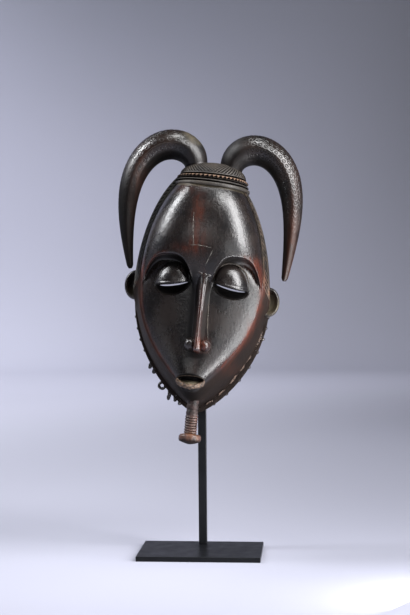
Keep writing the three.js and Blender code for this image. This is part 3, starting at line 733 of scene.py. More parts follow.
# Band down each side of the forehead: it lies on the side wall from edge to rim, with two plain edges
# and a row of slanted notches between them
sideBand = {
    "low": 4, "high": 126, "rows": 460, "across": 22, "pitch": 5.2, "cut": 1.0, "proud": 0.9, "buried": 2.5,
}


def bandShell(side):
    b = sideBand
    w = np.linspace(b["low"], b["high"], b["rows"])[:, None]
    share = np.linspace(0, 1, b["across"])[None, :]
    rimW = rim["level"] + (w - face["level"]) * rim["top"] / face["top"]
    edgeU = face["offset"] + side * eggHalfWidth(face, w)
    rimU = centreAt(rim, rimW) + side * eggHalfWidth(rim, rimW)
    blend = mix(0.12, 0.97, share)
    u = mix(edgeU, rimU, blend)
    level = mix(w, rimW, blend)
    blends, drops = zip((0, 0), *((row[0], row[1]) for row in rim["profile"][1:7]))
    highFrom, highOver = rim["highDrop"]
    depth = edgeDepthAt(w) + np.interp(blend, blends, drops) * (edgeDepthAt(w) - highFrom) / highOver
    length = np.concatenate([[0], np.cumsum(np.hypot(np.diff(u[:, 0]), np.diff(w[:, 0])))])[:, None]
    edges = np.exp(-((share - 0.12) / 0.09) ** 2) + np.exp(-((share - 0.9) / 0.08) ** 2)
    middle = smoothStep(0.22, 0.3, share) * smoothStep(0.8, 0.72, share)
    phase = (length / b["pitch"] + 0.55 * share) % 1
    notch = smoothStep(0.5, 0.25, np.abs(phase - 0.5)) ** 1.5
    ends = smoothStep(0, 4, length) * smoothStep(0, 4, length[-1] - length)
    lift = (b["proud"] * (edges + middle * (0.9 - b["cut"] * (1 - notch)) * 1.1)) * ends
    top = np.stack([u, depth + 0.4 * ends + lift, level], axis=-1)
    under = top[:, ::-1].copy()[:, [0, -1]]
    under[..., 1] = depth[:, [-1, 0]] - b["buried"]
    rows = np.concatenate([top, under], axis=1)
    shell = tubeShell(gridToWorld(rows))
    # Painted shade in the notches
    grooves = np.concatenate([(middle * (1 - notch) * ends), np.zeros((b["rows"], 2))], axis=1).reshape(-1)
    return shell, np.append(grooves, [0, 0])


# Coiffure: a stack of squarish rings. Three ridges with grooves between them, a row of beads on the
# topmost ridge, and a low crown covered with crossed cuts.
cap = {
    "centreDepth": 18, "back": 18, "squareness": 2.2, "sides": 560, "tilt": 0.045, "crowdForward": 0.38,
    "profile": [
        # w, half width, front reach
        (113.8, 43.6, 49.6), (114.4, 45.6, 51.6), (115.4, 46.2, 52.2), (117.6, 46.0, 52.0),
        (118.3, 45.0, 51.2), (118.6, 42.6, 48.8), (119.8, 42.4, 48.6), (120.2, 44.2, 50.5),
        (120.9, 44.6, 51.0), (121.6, 44.0, 50.4), (121.9, 41.2, 47.6), (123.4, 41.0, 47.4),
        (123.9, 42.6, 49.0), (125.7, 43.0, 49.4), (127.2, 42.0, 48.2), (127.5, 39.4, 45.6),
        (129.2, 39.2, 45.4), (129.6, 40.4, 46.6),
    ],
    "profileRows": 56, "shadedGrooves": [(118.8, 120.2), (122.1, 123.6), (127.7, 129.3)],
    "crownBase": 129.6, "crownTop": 147, "crownHalfWidth": 40.4, "crownFront": 46.4, "crownRows": 100,
    "beadLevel": 125.7, "beadPitch": 5.3, "beadHeight": 1.7, "hatchPitch": 3.3, "hatchDepth": 0.8,
}


# Coiffure: each level is a superellipse, longer in front. The patterns are cosines of the distance
# round and up the surface, and move it in or out.
def capShell():
    c = cap
    keys = np.array(c["profile"])
    steps = c["profileRows"]
    place = np.linspace(0, len(keys) - 1, steps)
    ridges = np.stack([np.interp(place, np.arange(len(keys)), keys[:, n]) for n in range(3)], axis=1)
    rise = np.sin(np.linspace(0, 0.5 * math.pi, c["crownRows"] + 1))[1:]
    spread = np.sqrt(np.maximum(1 - rise ** 2, 0.0004))
    crown = np.stack([mix(c["crownBase"], c["crownTop"], rise), c["crownHalfWidth"] * spread,
                      c["crownFront"] * spread], axis=1)
    levels = np.vstack([ridges, crown])
    w, halfWidth, front = (levels[:, n:n + 1] for n in range(3))
    turn = np.linspace(0, 2 * math.pi, c["sides"], endpoint=False)[None, :]
    angle = turn + c["crowdForward"] * np.cos(turn)

    def squared(value):
        return np.sign(value) * np.abs(value) ** (2 / c["squareness"])

    reach = np.where(np.sin(angle) > 0, front, np.minimum(c["back"], front))
    u = halfWidth * squared(np.cos(angle))
    depth = c["centreDepth"] + reach * squared(np.sin(angle))
    # Distance round and up the surface, for the patterns
    stepsRound = np.hypot(np.diff(u, axis=1), np.diff(depth, axis=1))
    along = np.concatenate([np.zeros((len(u), 1)), np.cumsum(stepsRound, axis=1)], axis=1)
    beadRow = np.exp(-((w - c["beadLevel"]) / 1.6) ** 4)
    beadLine = along[np.argmin(np.abs(w[:, 0] - c["beadLevel"]))][None, :]
    # Each bead is a leaning tooth, broad above and pointed below
    phase = np.abs(((beadLine + 0.5 * (w - c["beadLevel"])) / c["beadPitch"]) % 1 - 0.5) * 2
    share = clamp01((w - c["beadLevel"] + 2.2) / 3.6)
    bead = smoothStep(0, 0.35, share * 1.15 - phase)
    lift = beadRow * c["beadHeight"] * (bead - 0.5)
    base = along[steps][None, :]
    up = np.concatenate([[0], np.cumsum(np.hypot(np.diff(w[:, 0]), np.diff(front[:, 0])))])[:, None]
    up = up - up[steps]
    onCrown = smoothStep(c["crownBase"] + 0.3, c["crownBase"] + 1.5, w)
    fade = smoothStep(c["crownTop"] - 0.1, c["crownTop"] - 1.2, w)

    def cuts(distance):
        return smoothStep(0.6, 1.0, np.abs(np.cos(math.pi * distance / c["hatchPitch"])))

    # One slant is stronger on the right half, the other on the left
    right = smoothStep(-12, 12, u)
    crossing = np.maximum(cuts(base * 0.75 + up * 0.8) * mix(0.35, 1, right),
                          cuts(base * 0.75 - up * 0.8) * mix(1, 0.35, right))
    lift = lift - onCrown * fade * c["hatchDepth"] * crossing
    steep = smoothStep(c["crownTop"], c["crownTop"] - 6, w)
    u = u + lift * np.cos(angle) * steep
    depth = depth + lift * np.sin(angle) * steep
    leaning = c["tilt"] * u * smoothStep(c["crownTop"], c["profile"][0][0], w)
    levelsAll = w + lift * (1 - steep) - leaning
    # Painted shade: darker in the crossed cuts, between the beads and in the grooves between the ridges
    grooves = onCrown * crossing * 1.1 + beadRow * (1 - bead) * 1.5
    for low, high in c["shadedGrooves"]:
        inGroove = smoothStep(low - 0.3, low + 0.3, w) * smoothStep(high + 0.3, high - 0.3, w)
        grooves = np.maximum(grooves, inGroove * 1.4)
    grooves, beads = (np.append((rows + 0 * angle).reshape(-1), [0, 0]) for rows in (grooves, beadRow * bead))
    return tubeShell(toWorld(u, depth, levelsAll)), grooves, beads


# Horns: each follows a curl whose heading turns from the start angle to the end angle
horn = {
    "thickest": 37, "tip": 7, "rootDiameter": 28, "swellLength": 35, "taperStart": 45, "taperPower": 1.25,
    "rootDepth": 30, "forwardSweep": 15, "buried": 14, "steps": 2000, "rings": 420, "sides": 184,
    "markWidth": 0.44, "markDepth": 0.42,
}
# dull, innerDull and rootDull set the painted shade towards the tip, inside the curl and at the root
hornLeft = {
    "side": -1, "rootU": 21.5, "rootW": 143.1, "startAngle": 105, "endAngle": 286, "curl": 66,
    "curlPower": 1.17, "length": 219.5, "edged": 1.5,
    "markPitch": 9.4, "markRow": 36.0, "markRadius": 2.4, "markStart": 10, "markStrength": 0.6,
    "dull": 0.95, "innerDull": 0.85, "rootDull": 0.4,
}
hornRight = {
    "side": 1, "rootU": 21.7, "rootW": 142.3, "startAngle": 102, "endAngle": 277, "curl": 60.5,
    "curlPower": 1.23, "length": 220, "edged": 1.52,
    "markPitch": 6.4, "markRow": 24.0, "markRadius": 1.9, "markStart": 22, "markStrength": 0.85,
    "dull": 0.35, "innerDull": 0.55, "rootDull": 0.75,
}


# Horn: sections of a slowly falling diameter carried along the curl, squared a little so that four
# soft creases run along it, with small punched rings in rows. A ring is a narrow groove where the
# distance from its middle equals the ring's radius.
def hornShell(settings):
    length, side = settings["length"], settings["side"]
    s = np.linspace(-horn["buried"], length, horn["steps"])
    settled = np.exp(-(np.maximum(s, 0) / settings["curl"]) ** settings["curlPower"])
    heading = np.radians(mix(settings["endAngle"], settings["startAngle"], settled))
    step = s[1] - s[0]
    start = math.radians(settings["startAngle"])
    out = settings["rootU"] + horn["buried"] * math.cos(start) - np.cumsum(np.cos(heading)) * step
    up = settings["rootW"] - horn["buried"] * math.sin(start) + np.cumsum(np.sin(heading)) * step
    depth = horn["rootDepth"] + horn["forwardSweep"] * (np.maximum(s, 0) / length) ** 1.5
    path = np.stack([side * out, -depth, up], axis=1)
    tangent = np.gradient(path, axis=0)
    tangent /= np.linalg.norm(tangent, axis=1)[:, None]
    across = np.cross(tangent, [0, 1, 0])
    across /= np.linalg.norm(across, axis=1)[:, None]
    upright = np.cross(across, tangent)

    pick = np.linspace(0, horn["steps"] - 1, horn["rings"]).astype(int)
    sPick = s[pick][:, None]
    swell = 1 - (1 - clamp01(sPick / horn["swellLength"])) ** 2
    taper = clamp01((sPick - horn["taperStart"]) / (length - horn["taperStart"])) ** horn["taperPower"]
    radius = mix(horn["rootDiameter"], mix(horn["thickest"], horn["tip"], taper), swell) / 2
    radius = radius * np.sqrt(clamp01((length + 1.5 - sPick) / 5))
    angle = np.linspace(0, 2 * math.pi, horn["sides"], endpoint=False)[None, :]
    power = settings["edged"]
    radius = radius * (np.abs(np.cos(angle)) ** power + np.abs(np.sin(angle)) ** power) ** (-1 / power)

    # Rows of punched rings at fixed angles round the horn, staggered from row to row
    rowStep, pitch = math.radians(settings["markRow"]), settings["markPitch"]
    row = np.round(angle / rowStep)
    awayRound = (angle - row * rowStep) * radius + 0.5 * np.sin(0.8 * sPick + 2 * row)
    shift = sPick + (row % 2) * pitch * 0.5 + 0.9 * np.sin(1.7 * row)
    awayAlong = (shift / pitch - np.round(shift / pitch)) * pitch
    away = np.hypot(awayRound, awayAlong)
    size = np.minimum(settings["markRadius"], radius * 0.16)
    groove = settings["markStrength"] * np.exp(-((away - size) / horn["markWidth"]) ** 2)
    # The marks face forwards, outwards and up; the underside and the tip stay plain
    cosine, sine = np.cos(angle)[..., None], np.sin(angle)[..., None]
    facing = across[pick][:, None] * cosine + upright[pick][:, None] * sine
    shown = smoothStep(-0.1, 0.25, -0.75 * facing[..., 1] + 0.5 * facing[..., 2] + 0.45 * side * facing[..., 0])
    shown = shown * smoothStep(settings["markStart"], settings["markStart"] + 8, sPick)
    shown = shown * smoothStep(length - 40, length - 90, sPick)
    groove = groove * shown
    rows = path[pick][:, None] + (radius - horn["markDepth"] * groove)[..., None] * facing
    shell = tubeShell(toWorld(rows[..., 0], -rows[..., 1], rows[..., 2]))
    # Towards the tip, at the root and on the plane inside the curl the surface is blacker and duller: painted
    # shade, which darkens the inner plane that faces down and takes away the lamps' reflections there; the
    # punched rings are painted darker as well
    dull = settings["dull"] * smoothStep(0.3, 0.6, sPick / length) + 0 * angle
    dull = np.maximum(dull, settings["innerDull"] * smoothStep(0.35, 0.7, -side * np.cos(angle)))
    dull = np.maximum(dull, settings["rootDull"] * (1 - smoothStep(0.05, 0.2, sPick / length)))
    return shell, np.append(np.maximum(groove, dull).reshape(-1), [0, 0])


# Ears: cupped flanges that are open to the front
ear = {
    "halfHeight": 18, "reach": 13.5, "thickness": 7, "depth": 20, "rows": 120, "columns": 110,
    "profile": [  # share of the reach, share of the thickness
        (0, -0.1), (0.3, -0.05), (0.55, 0.2), (0.74, 0.75), (0.86, 0.95), (0.97, 0.7), (1.0, 0.2), (0.9, -0.35),
        (0.6, -0.8), (0.25, -0.97), (0, -1),
    ],
    "places": [(-83, -9), (80, -17)],
}


# Ear: an oval dish. Its profile runs from the cup's middle out over a rounded rim and round the back.
def earShell(u, w):
    profile = smoothPath(ear["profile"], ear["rows"])[1:-1]
    around = np.linspace(0, 2 * math.pi, ear["columns"], endpoint=False)[None, :]
    r, d = profile[:, :1], profile[:, 1:]
    return tubeShell(toWorld(
        u + ear["reach"] * r * np.cos(around), ear["depth"] + ear["thickness"] * d + 0 * around,
        w + ear["halfHeight"] * r * np.sin(around)))


# Beard: a turned shaft with three lumps, seven thin rings and a rounded knob
beard = {
    "u": -0.6, "top": -141, "depth": 27, "lean": 6, "radius": 7.2, "sides": 112,
    "lumps": 3, "lumpPitch": 7, "lumpHeight": 0.7, "rings": 7, "ringPitch": 3.1, "ringHeight": 1.2,
    "knobRadius": 13.6, "knobLength": 12.5,
}


# Beard: circles along a leaning axis, whose radius is a sum of sine humps, then the knob's rounded one
def beardShell():
    b = beard
    lumpsEnd = b["lumps"] * b["lumpPitch"]
    ringsEnd = lumpsEnd + b["rings"] * b["ringPitch"]
    end = ringsEnd + b["knobLength"]
    s = np.concatenate([np.linspace(0, ringsEnd, 260), np.linspace(ringsEnd, end, 70)[1:]])[:, None]
    around = np.linspace(0, 2 * math.pi, b["sides"], endpoint=False)[None, :]
    peaked = s - 0.5 * np.cos(2 * (around + 0.5 * math.pi)) * smoothStep(lumpsEnd - 4, lumpsEnd, s)
    lump = np.abs(np.sin(math.pi * s / b["lumpPitch"])) ** 0.7 * smoothStep(lumpsEnd + 0.5, lumpsEnd - 0.5, s)
    ring = np.abs(np.sin(math.pi * (peaked - lumpsEnd) / b["ringPitch"])) ** 0.6
    ring = ring * smoothStep(lumpsEnd - 0.2, lumpsEnd + 0.2, peaked)
    ring = ring * smoothStep(ringsEnd + 0.5, ringsEnd - 0.5, s)
    radius = b["radius"] - 0.6 + b["lumpHeight"] * lump + b["ringHeight"] * ring
    knob = clamp01((s - ringsEnd) / b["knobLength"])
    bulge = (1 - np.abs(2 * knob ** 0.75 - 1.02) ** 2.6)
    knobRadius = b["radius"] - 0.6 + (b["knobRadius"] - b["radius"] + 0.6) * clamp01(bulge) ** 0.6
    closing = np.sqrt(clamp01((1 - knob) / 0.28))
    radius = np.where(knob > 0, knobRadius * np.minimum(1, closing + 0.02), radius)
    lean = math.radians(b["lean"])
    u = b["u"] + radius * np.cos(around)
    out = radius * np.sin(around)
    depth = b["depth"] + s * math.sin(lean) + out * math.cos(lean)
    w = b["top"] - s * math.cos(lean) + out * math.sin(lean)
    # Painted shade between the rings and on the knob's lower half, and darker wood on the shaft above the rings
    grooves = (1 - ring) * smoothStep(lumpsEnd, lumpsEnd + 1, s) * (knob <= 0)
    grooves = grooves + 0.5 * smoothStep(lumpsEnd + 1, lumpsEnd - 3, s) + 0.85 * smoothStep(0.4, 0.75, knob)
    return tubeShell(toWorld(u, depth, w)), np.append((clamp01(grooves) + 0 * around).reshape(-1), [0, 0])


# Stumps of the broken collar teeth: place on the rim, as the angle from straight down, and length left
tooth = {"width": 6, "thickness": 5, "root": 4, "droop": 0.5, "hub": -12}
teeth = [
    (-66, 1), (-57, 1), (-49, 1.5), (-41, 1), (-31.8, 5.5), (-27.9, 4), (-14.1, 9.5), (-10.3, 4), (-7.6, 3),
    (9.9, 0.7), (17.3, 0.9), (26.9, 0.8), (36.2, 1.3), (46.7, 1.2), (56.7, 1.3), (65, 0.9), (74, 1.2),
]
toothLoop = {"angle": -19.7, "reach": 8, "radius": 5.5, "hole": 2}


# Point of the rim in a given direction, and the way a tooth points there
def rimFrame(angleDegrees):
    w = np.linspace(rim["level"] - rim["bottom"], 30, 4000)
    u = np.sign(angleDegrees) * eggHalfWidth(rim, w) + centreAt(rim, w)
    angles = np.degrees(np.arctan2(u, tooth["hub"] - w))
    order = np.argsort(angles)
    point = np.array([np.interp(angleDegrees, angles[order], values[order]) for values in (u, w)])
    along = point - np.array([0, tooth["hub"]])
    along /= np.linalg.norm(along)
    along[1] -= tooth["droop"]
    return point, along / np.linalg.norm(along)


# Tooth: an oval section that narrows along its direction and closes roundly, roughened by sines
def toothShell(index, angleDegrees, length):
    point, along = rimFrame(angleDegrees)
    s = np.linspace(-tooth["root"], length, 26)[:, None]
    around = np.linspace(0, 2 * math.pi, 28, endpoint=False)[None, :]
    tip = clamp01((s + tooth["root"]) / (length + tooth["root"]))
    rough = 1 + 0.07 * np.sin(3 * around + 0.9 * s + index) + 0.06 * np.sin(2 * around - 0.7 * s + 2 * index)
    half = tooth["width"] * mix(0.5, 0.33, tip) * np.sqrt(clamp01((1.03 - tip) / 0.16)) * rough
    side = half * np.cos(around)
    u = point[0] + along[0] * s - along[1] * side
    w = point[1] + along[1] * s + along[0] * side
    depth = tooth["thickness"] / 2 + half * tooth["thickness"] / tooth["width"] * np.sin(around) * 1.4
    return tubeShell(toWorld(u, np.maximum(depth, 0.1), w))


# Broken facets on the collar's inner line, lower right: direction on the rim, distance in from it,
# half length along the rim, half width, how proud
collarBreaks = [
    (57, 5.6, 9.0, 3.0, 0.7), (49.5, 6.0, 3.4, 1.2, 0.4), (41, 6.2, 5.2, 1.1, 0.4), (34, 6.4, 5.2, 0.8, 0.4),
    (25.5, 6.8, 7.6, 1.0, 0.4), (66, 5.2, 5.2, 1.0, 0.4), (16.5, 6.2, 5.5, 0.9, 0.6), (9, 5.6, 5.0, 1.0, 0.8),
    (-24, 6.0, 4.6, 0.6, 0.3), (-38, 5.6, 4.8, 0.6, 0.3),
]


# Break: a lens along the rim, half length times cosine by half width times sine, with a jagged edge
def breakShell(index, angleDegrees, inward, halfLength, halfWidth, proud):
    point = rimFrame(angleDegrees)[0]
    tangent = rimFrame(angleDegrees + 2)[0] - rimFrame(angleDegrees - 2)[0]
    tangent /= np.linalg.norm(tangent)
    along = np.array([tangent[1], -tangent[0]])
    t = np.linspace(0, math.pi, 40)[1:-1, None]
    around = np.linspace(0, 2 * math.pi, 22, endpoint=False)[None, :]
    jagged = 1 + 0.3 * np.sin(5 * t + index) * np.cos(3 * around) + 0.2 * np.sin(13 * t + 2 * index + around)
    run = -halfLength * np.cos(t)
    out = halfWidth * np.sin(t) * np.cos(around) * jagged - inward + 0.5 * np.sin(3 * t + index)
    u = point[0] + along[0] * out - along[1] * run
    w = point[1] + along[1] * out + along[0] * run
    slope = 2.0 * np.maximum(0, -out - 5.2)  # the head's side starts to rise here
    depth = rim["collarThickness"] + slope + proud * np.sin(around) * np.sqrt(np.sin(t)) * jagged + 0.35
    return tubeShell(toWorld(u, depth, w))


# Loop of the collar that is still whole: a round section turned round its middle
def loopShell():
    point, along = rimFrame(toothLoop["angle"])
    centre = point + along * (toothLoop["reach"] - toothLoop["radius"])
    around = np.linspace(0, 2 * math.pi, 72, endpoint=False)[:, None]
    section = np.linspace(0, 2 * math.pi, 24, endpoint=False)[None, :]
    middle = (toothLoop["radius"] + toothLoop["hole"]) / 2
    half = (toothLoop["radius"] - toothLoop["hole"]) / 2
    reach = middle + half * np.cos(section) * (1 + 0.08 * np.sin(4 * around))
    u = centre[0] + reach * np.cos(around)
    w = centre[1] + reach * np.sin(around)
    depth = tooth["thickness"] / 2 + 0.5 * tooth["thickness"] * np.sin(section) + 0 * around
    return ringShell(toWorld(u, depth, w))


print("shapes defined")


# Materials


# A socket gets a link from another socket, or else the value itself
def feed(tree, socket, value):
    if isinstance(value, bpy.types.NodeSocket):
        tree.links.new(value, socket)
    else:
        socket.default_value = value


def addNode(tree, kind, inputs=None, **settings):
    made = tree.nodes.new(kind)
    for key, value in settings.items():
        setattr(made, key, value)
    for key, value in (inputs or {}).items():
        feed(tree, made.inputs[key], value)
    return made


def mathNode(tree, operation, first, second, clamp=False):
    inputs = {0: first, 1: second}
    return addNode(tree, "ShaderNodeMath", inputs, operation=operation, use_clamp=clamp).outputs[0]


def times(tree, first, second, clamp=False):
    return mathNode(tree, "MULTIPLY", first, second, clamp)


def plus(tree, first, second):
    return mathNode(tree, "ADD", first, second)


def mixColour(tree, factor, first, second):
    made = addNode(tree, "ShaderNodeMix", {0: factor}, data_type="RGBA")
    for index, value in ((6, first), (7, second)):
        feed(tree, made.inputs[index], (*value, 1) if isinstance(value, tuple) else value)
    return made.outputs[2]


# Noise on object coordinates (metres), its contrast set by the two ends of a ramp
def noise(tree, place, scale, low, high, detail=4.0, stretch=(1, 1, 1), roughness=0.55, distortion=0.0):
    mapped = addNode(tree, "ShaderNodeMapping", {"Vector": place, "Scale": stretch})
    made = addNode(tree, "ShaderNodeTexNoise", {
        "Vector": mapped.outputs[0], "Scale": scale, "Detail": detail, "Roughness": roughness,
        "Distortion": distortion})
    ranged = addNode(tree, "ShaderNodeMapRange", {
        "Value": made.outputs["Fac"], "From Min": low, "From Max": high}, clamp=True)
    return ranged.outputs[0]


def newMaterial(name):
    material = bpy.data.materials.new(name)
    material.use_nodes = True
    tree = material.node_tree
    return material, tree, tree.nodes["Principled BSDF"]


# What the finishes share; each one below changes what is its own
# The darkest colour of each finish, used where the groove attribute is high, is painted shade and dirt in
# grooves and hollows
plainWood = {
    "dark": (0.0050, 0.0043, 0.0042), "brown": (0.014, 0.009, 0.007), "rub": (0.075, 0.018, 0.009),
    "dustAndShade": (0.0012, 0.001, 0.001), "stain": (0.17, 0.14, 0.085), "roughness": (0.20, 0.36), "specular": 0.5,
    "rubAmount": 1.0, "dustAndShadeAmount": 0.95, "rubDull": 0.6, "bump": 0.15, "patchScale": 34,
}
woodFinishes = {
    "face": plainWood,
    "horn": plainWood | {
        "dark": (0.0040, 0.0036, 0.0034), "brown": (0.018, 0.010, 0.007), "rub": (0.060, 0.019, 0.009),
        "dustAndShade": (0.0015, 0.0015, 0.0015), "roughness": (0.15, 0.29), "dustAndShadeAmount": 0.9, "bump": 0.14,
    },
    "coiffure": plainWood | {
        "dark": (0.020, 0.017, 0.014), "brown": (0.075, 0.060, 0.045), "rub": (0.27, 0.15, 0.085),
        "dustAndShade": (0.0025, 0.002, 0.002), "roughness": (0.4, 0.65), "specular": 0.4, "rubAmount": 0.6,
        "dustAndShadeAmount": 0.97, "bump": 0.4,
    },
    # The nose is the most handled part, so it shines most
    "nose": plainWood | {"roughness": (0.15, 0.28), "specular": 0.85, "rubDull": 0.0, "bump": 0.08},
    "lip": plainWood | {
        "dark": (0.030, 0.018, 0.012), "brown": (0.21, 0.135, 0.085), "rub": (0.20, 0.11, 0.06),
        "dustAndShade": (0.010, 0.008, 0.007), "roughness": (0.45, 0.65), "specular": 0.4, "rubAmount": 0.4,
        "dustAndShadeAmount": 0.9, "bump": 0.6, "patchScale": 420,
    },
    "band": plainWood | {
        "dark": (0.010, 0.010, 0.008), "brown": (0.050, 0.047, 0.034), "rub": (0.15, 0.05, 0.02),
        "dustAndShade": (0.002, 0.002, 0.002), "roughness": (0.4, 0.6), "specular": 0.4, "rubAmount": 0.5,
        "dustAndShadeAmount": 0.97, "bump": 0.4,
    },
    "bandRight": plainWood | {
        "dark": (0.010, 0.008, 0.006), "brown": (0.075, 0.050, 0.032), "rub": (0.16, 0.06, 0.03),
        "dustAndShade": (0.002, 0.002, 0.002), "roughness": (0.4, 0.6), "specular": 0.4, "rubAmount": 0.6,
        "dustAndShadeAmount": 0.97, "bump": 0.4, "patchScale": 120,
    },
    "break": plainWood | {
        "dark": (0.030, 0.020, 0.016), "brown": (0.17, 0.112, 0.082), "rub": (0.22, 0.12, 0.07),
        "dustAndShade": (0.02, 0.015, 0.012), "roughness": (0.5, 0.75), "specular": 0.3, "dustAndShadeAmount": 0.9,
        "bump": 0.6, "patchScale": 260,
    },
    "beard": plainWood | {
        "dark": (0.012, 0.008, 0.007), "brown": (0.080, 0.043, 0.037), "rub": (0.15, 0.060, 0.026),
        "dustAndShade": (0.004, 0.003, 0.003), "roughness": (0.30, 0.50), "dustAndShadeAmount": 0.9, "bump": 0.3,
        "patchScale": 150,
    },
}


# Carved wood: near-black patina, browner in soft patches, rubbed to red-brown where the "rub"
# attribute says so, painted darker and duller where the "groove" attribute is high (painted shade, with dirt,
# in cuts, grooves and hollows and on shaded sides), and fine upright grain. "side" marks the rough side of the
# head and
# "stain" the pale dirt, which inside the lower lip is also painted light.
def woodMaterial(name, finish):
    material, tree, shader = newMaterial(name)
    place = addNode(tree, "ShaderNodeTexCoord").outputs["Object"]
    rub, groove, stain, side = (
        addNode(tree, "ShaderNodeAttribute", attribute_name=key).outputs["Fac"]
        for key in ("rub", "groove", "stain", "side"))
    patches = noise(tree, place, finish["patchScale"], 0.40, 0.70, detail=5)
    streaks = noise(tree, place, 55, 0.38, 0.66, detail=6, stretch=(3.2, 3.2, 0.7), distortion=0.4)
    grain = noise(tree, place, 480, 0.3, 0.7, detail=4, stretch=(1, 1, 0.3), roughness=0.6)
    specks = noise(tree, place, 950, 0.60, 0.74, detail=2)
    dents = noise(tree, place, 240, 0.3, 0.7, detail=3)

    worn = times(tree, rub, plus(tree, times(tree, streaks, 0.9), 0.25))
    worn = times(tree, worn, finish["rubAmount"], clamp=True)
    stained = times(tree, stain, plus(tree, times(tree, patches, 0.7), 0.3))
    # Painted shade: where the groove attribute is high the colour goes towards the darkest colour
    shadeAndDirt = times(tree, groove, finish["dustAndShadeAmount"], clamp=True)
    colour = mixColour(tree, times(tree, patches, 0.8), finish["dark"], finish["brown"])
    colour = mixColour(tree, worn, colour, finish["rub"])
    colour = mixColour(tree, times(tree, specks, 0.35), colour, finish["brown"])
    colour = mixColour(tree, times(tree, side, 0.5), colour, finish["brown"])
    colour = mixColour(tree, stained, colour, finish["stain"])
    colour = mixColour(tree, shadeAndDirt, colour, finish["dustAndShade"])
    tree.links.new(colour, shader.inputs["Base Color"])

    low, high = finish["roughness"]
    rough = plus(tree, times(tree, grain, 0.45), times(tree, patches, 0.55))
    rough = plus(tree, times(tree, rough, high - low), low)
    for extra, amount in ((groove, 0.35), (side, 0.35), (stain, 0.2)):
        rough = plus(tree, rough, times(tree, extra, amount))
    tree.links.new(rough, shader.inputs["Roughness"])

    # The rough side, the hollows painted black as shade and most of the rubbed places shine less
    dull = mathNode(tree, "MAXIMUM", times(tree, side, 0.85), times(tree, groove, 0.9))
    dull = mathNode(tree, "MAXIMUM", dull, times(tree, worn, finish["rubDull"]))
    shine = times(tree, mathNode(tree, "SUBTRACT", 1.0, dull), finish["specular"], clamp=True)
    tree.links.new(shine, shader.inputs["Specular IOR Level"])

    broad = addNode(tree, "ShaderNodeBump", {"Height": dents, "Strength": finish["bump"], "Distance": 0.0008})
    bump = addNode(tree, "ShaderNodeBump", {
        "Height": plus(tree, grain, times(tree, specks, 0.5)), "Strength": finish["bump"], "Distance": 0.0005,
        "Normal": broad.outputs[0]})
    tree.links.new(bump.outputs[0], shader.inputs["Normal"])
    return material


steelFinish = {"colour": (0.003, 0.0033, 0.004), "cloudGain": 1.5, "roughness": 0.3, "specular": 0.2}
scratchFinish = {"dark": (0.02, 0.018, 0.015), "pale": (0.20, 0.19, 0.165), "roughness": 0.6}


def steelMaterial(name, finish):
    material, tree, shader = newMaterial(name)
    place = addNode(tree, "ShaderNodeTexCoord").outputs["Object"]
    cloud = noise(tree, place, 60, 0.35, 0.7, detail=5)
    fine = noise(tree, place, 1500, 0.35, 0.65, detail=2)
    cloudy = tuple(channel * finish["cloudGain"] for channel in finish["colour"])
    tree.links.new(mixColour(tree, cloud, finish["colour"], cloudy), shader.inputs["Base Color"])
    tree.links.new(plus(tree, times(tree, cloud, 0.12), finish["roughness"]), shader.inputs["Roughness"])
    shader.inputs["Specular IOR Level"].default_value = finish["specular"]
    bump = addNode(tree, "ShaderNodeBump", {"Height": fine, "Strength": 0.08, "Distance": 0.0003})
    tree.links.new(bump.outputs[0], shader.inputs["Normal"])
    return material


def scratchMaterial(name, finish):
    material, tree, shader = newMaterial(name)
    place = addNode(tree, "ShaderNodeTexCoord").outputs["Object"]
    broken = noise(tree, place, 320, 0.42, 0.6)
    tree.links.new(mixColour(tree, broken, finish["dark"], finish["pale"]), shader.inputs["Base Color"])
    shader.inputs["Roughness"].default_value = finish["roughness"]
    return material


wood = {key: woodMaterial(key + "Wood", finish) for key, finish in woodFinishes.items()}
blackSteel = steelMaterial("satinBlackSteel", steelFinish)
paleScratch = scratchMaterial("paleScratch", scratchFinish)
print("materials ready")


# A piece of the mask with its attributes for wear, stain, and the painted shade and dirt of its grooves
def woodPiece(name, shell, finish, grooves=None, sharpAngle=50, rubbed=None):
    attributes = {"rub": wearAt(shell[0]) if rubbed is None else rubbed, "stain": stainAt(shell[0])}
    if grooves is not None:
        attributes["groove"] = grooves
    makePiece(name, shell, wood[finish], "mask", sharpAngle, attributes)


# Lens-shaped bar that cuts one eye's slit through the head, wider behind than in front
cutter = {"depths": (95, 60, 52, 30), "flares": (1, 1, 1.6, 3.0), "sides": 48}


def slitCutter(side):
    t = np.linspace(0, 2 * math.pi, cutter["sides"], endpoint=False)[None, :]
    depth, flare = np.array(cutter["depths"])[:, None], np.array(cutter["flares"])[:, None]
    u = side * eyeSlit["centre"] + 0.5 * eyeSlit["length"] * np.cos(t) + 0 * depth
    w = slitLine(u, side) + 0.5 * eyeSlit["height"] * flare * np.sin(t) + 0.2
    points, quads, triangles = tubeShell(toWorld(u, depth + 0 * t, w))
    mesh = bpy.data.meshes.new("slitCutter")
    mesh.from_pydata(points.tolist(), [], quads.tolist() + triangles.tolist())
    bar = bpy.data.objects.new("slitCutter", mesh)
    bpy.context.scene.collection.objects.link(bar)
    return bar


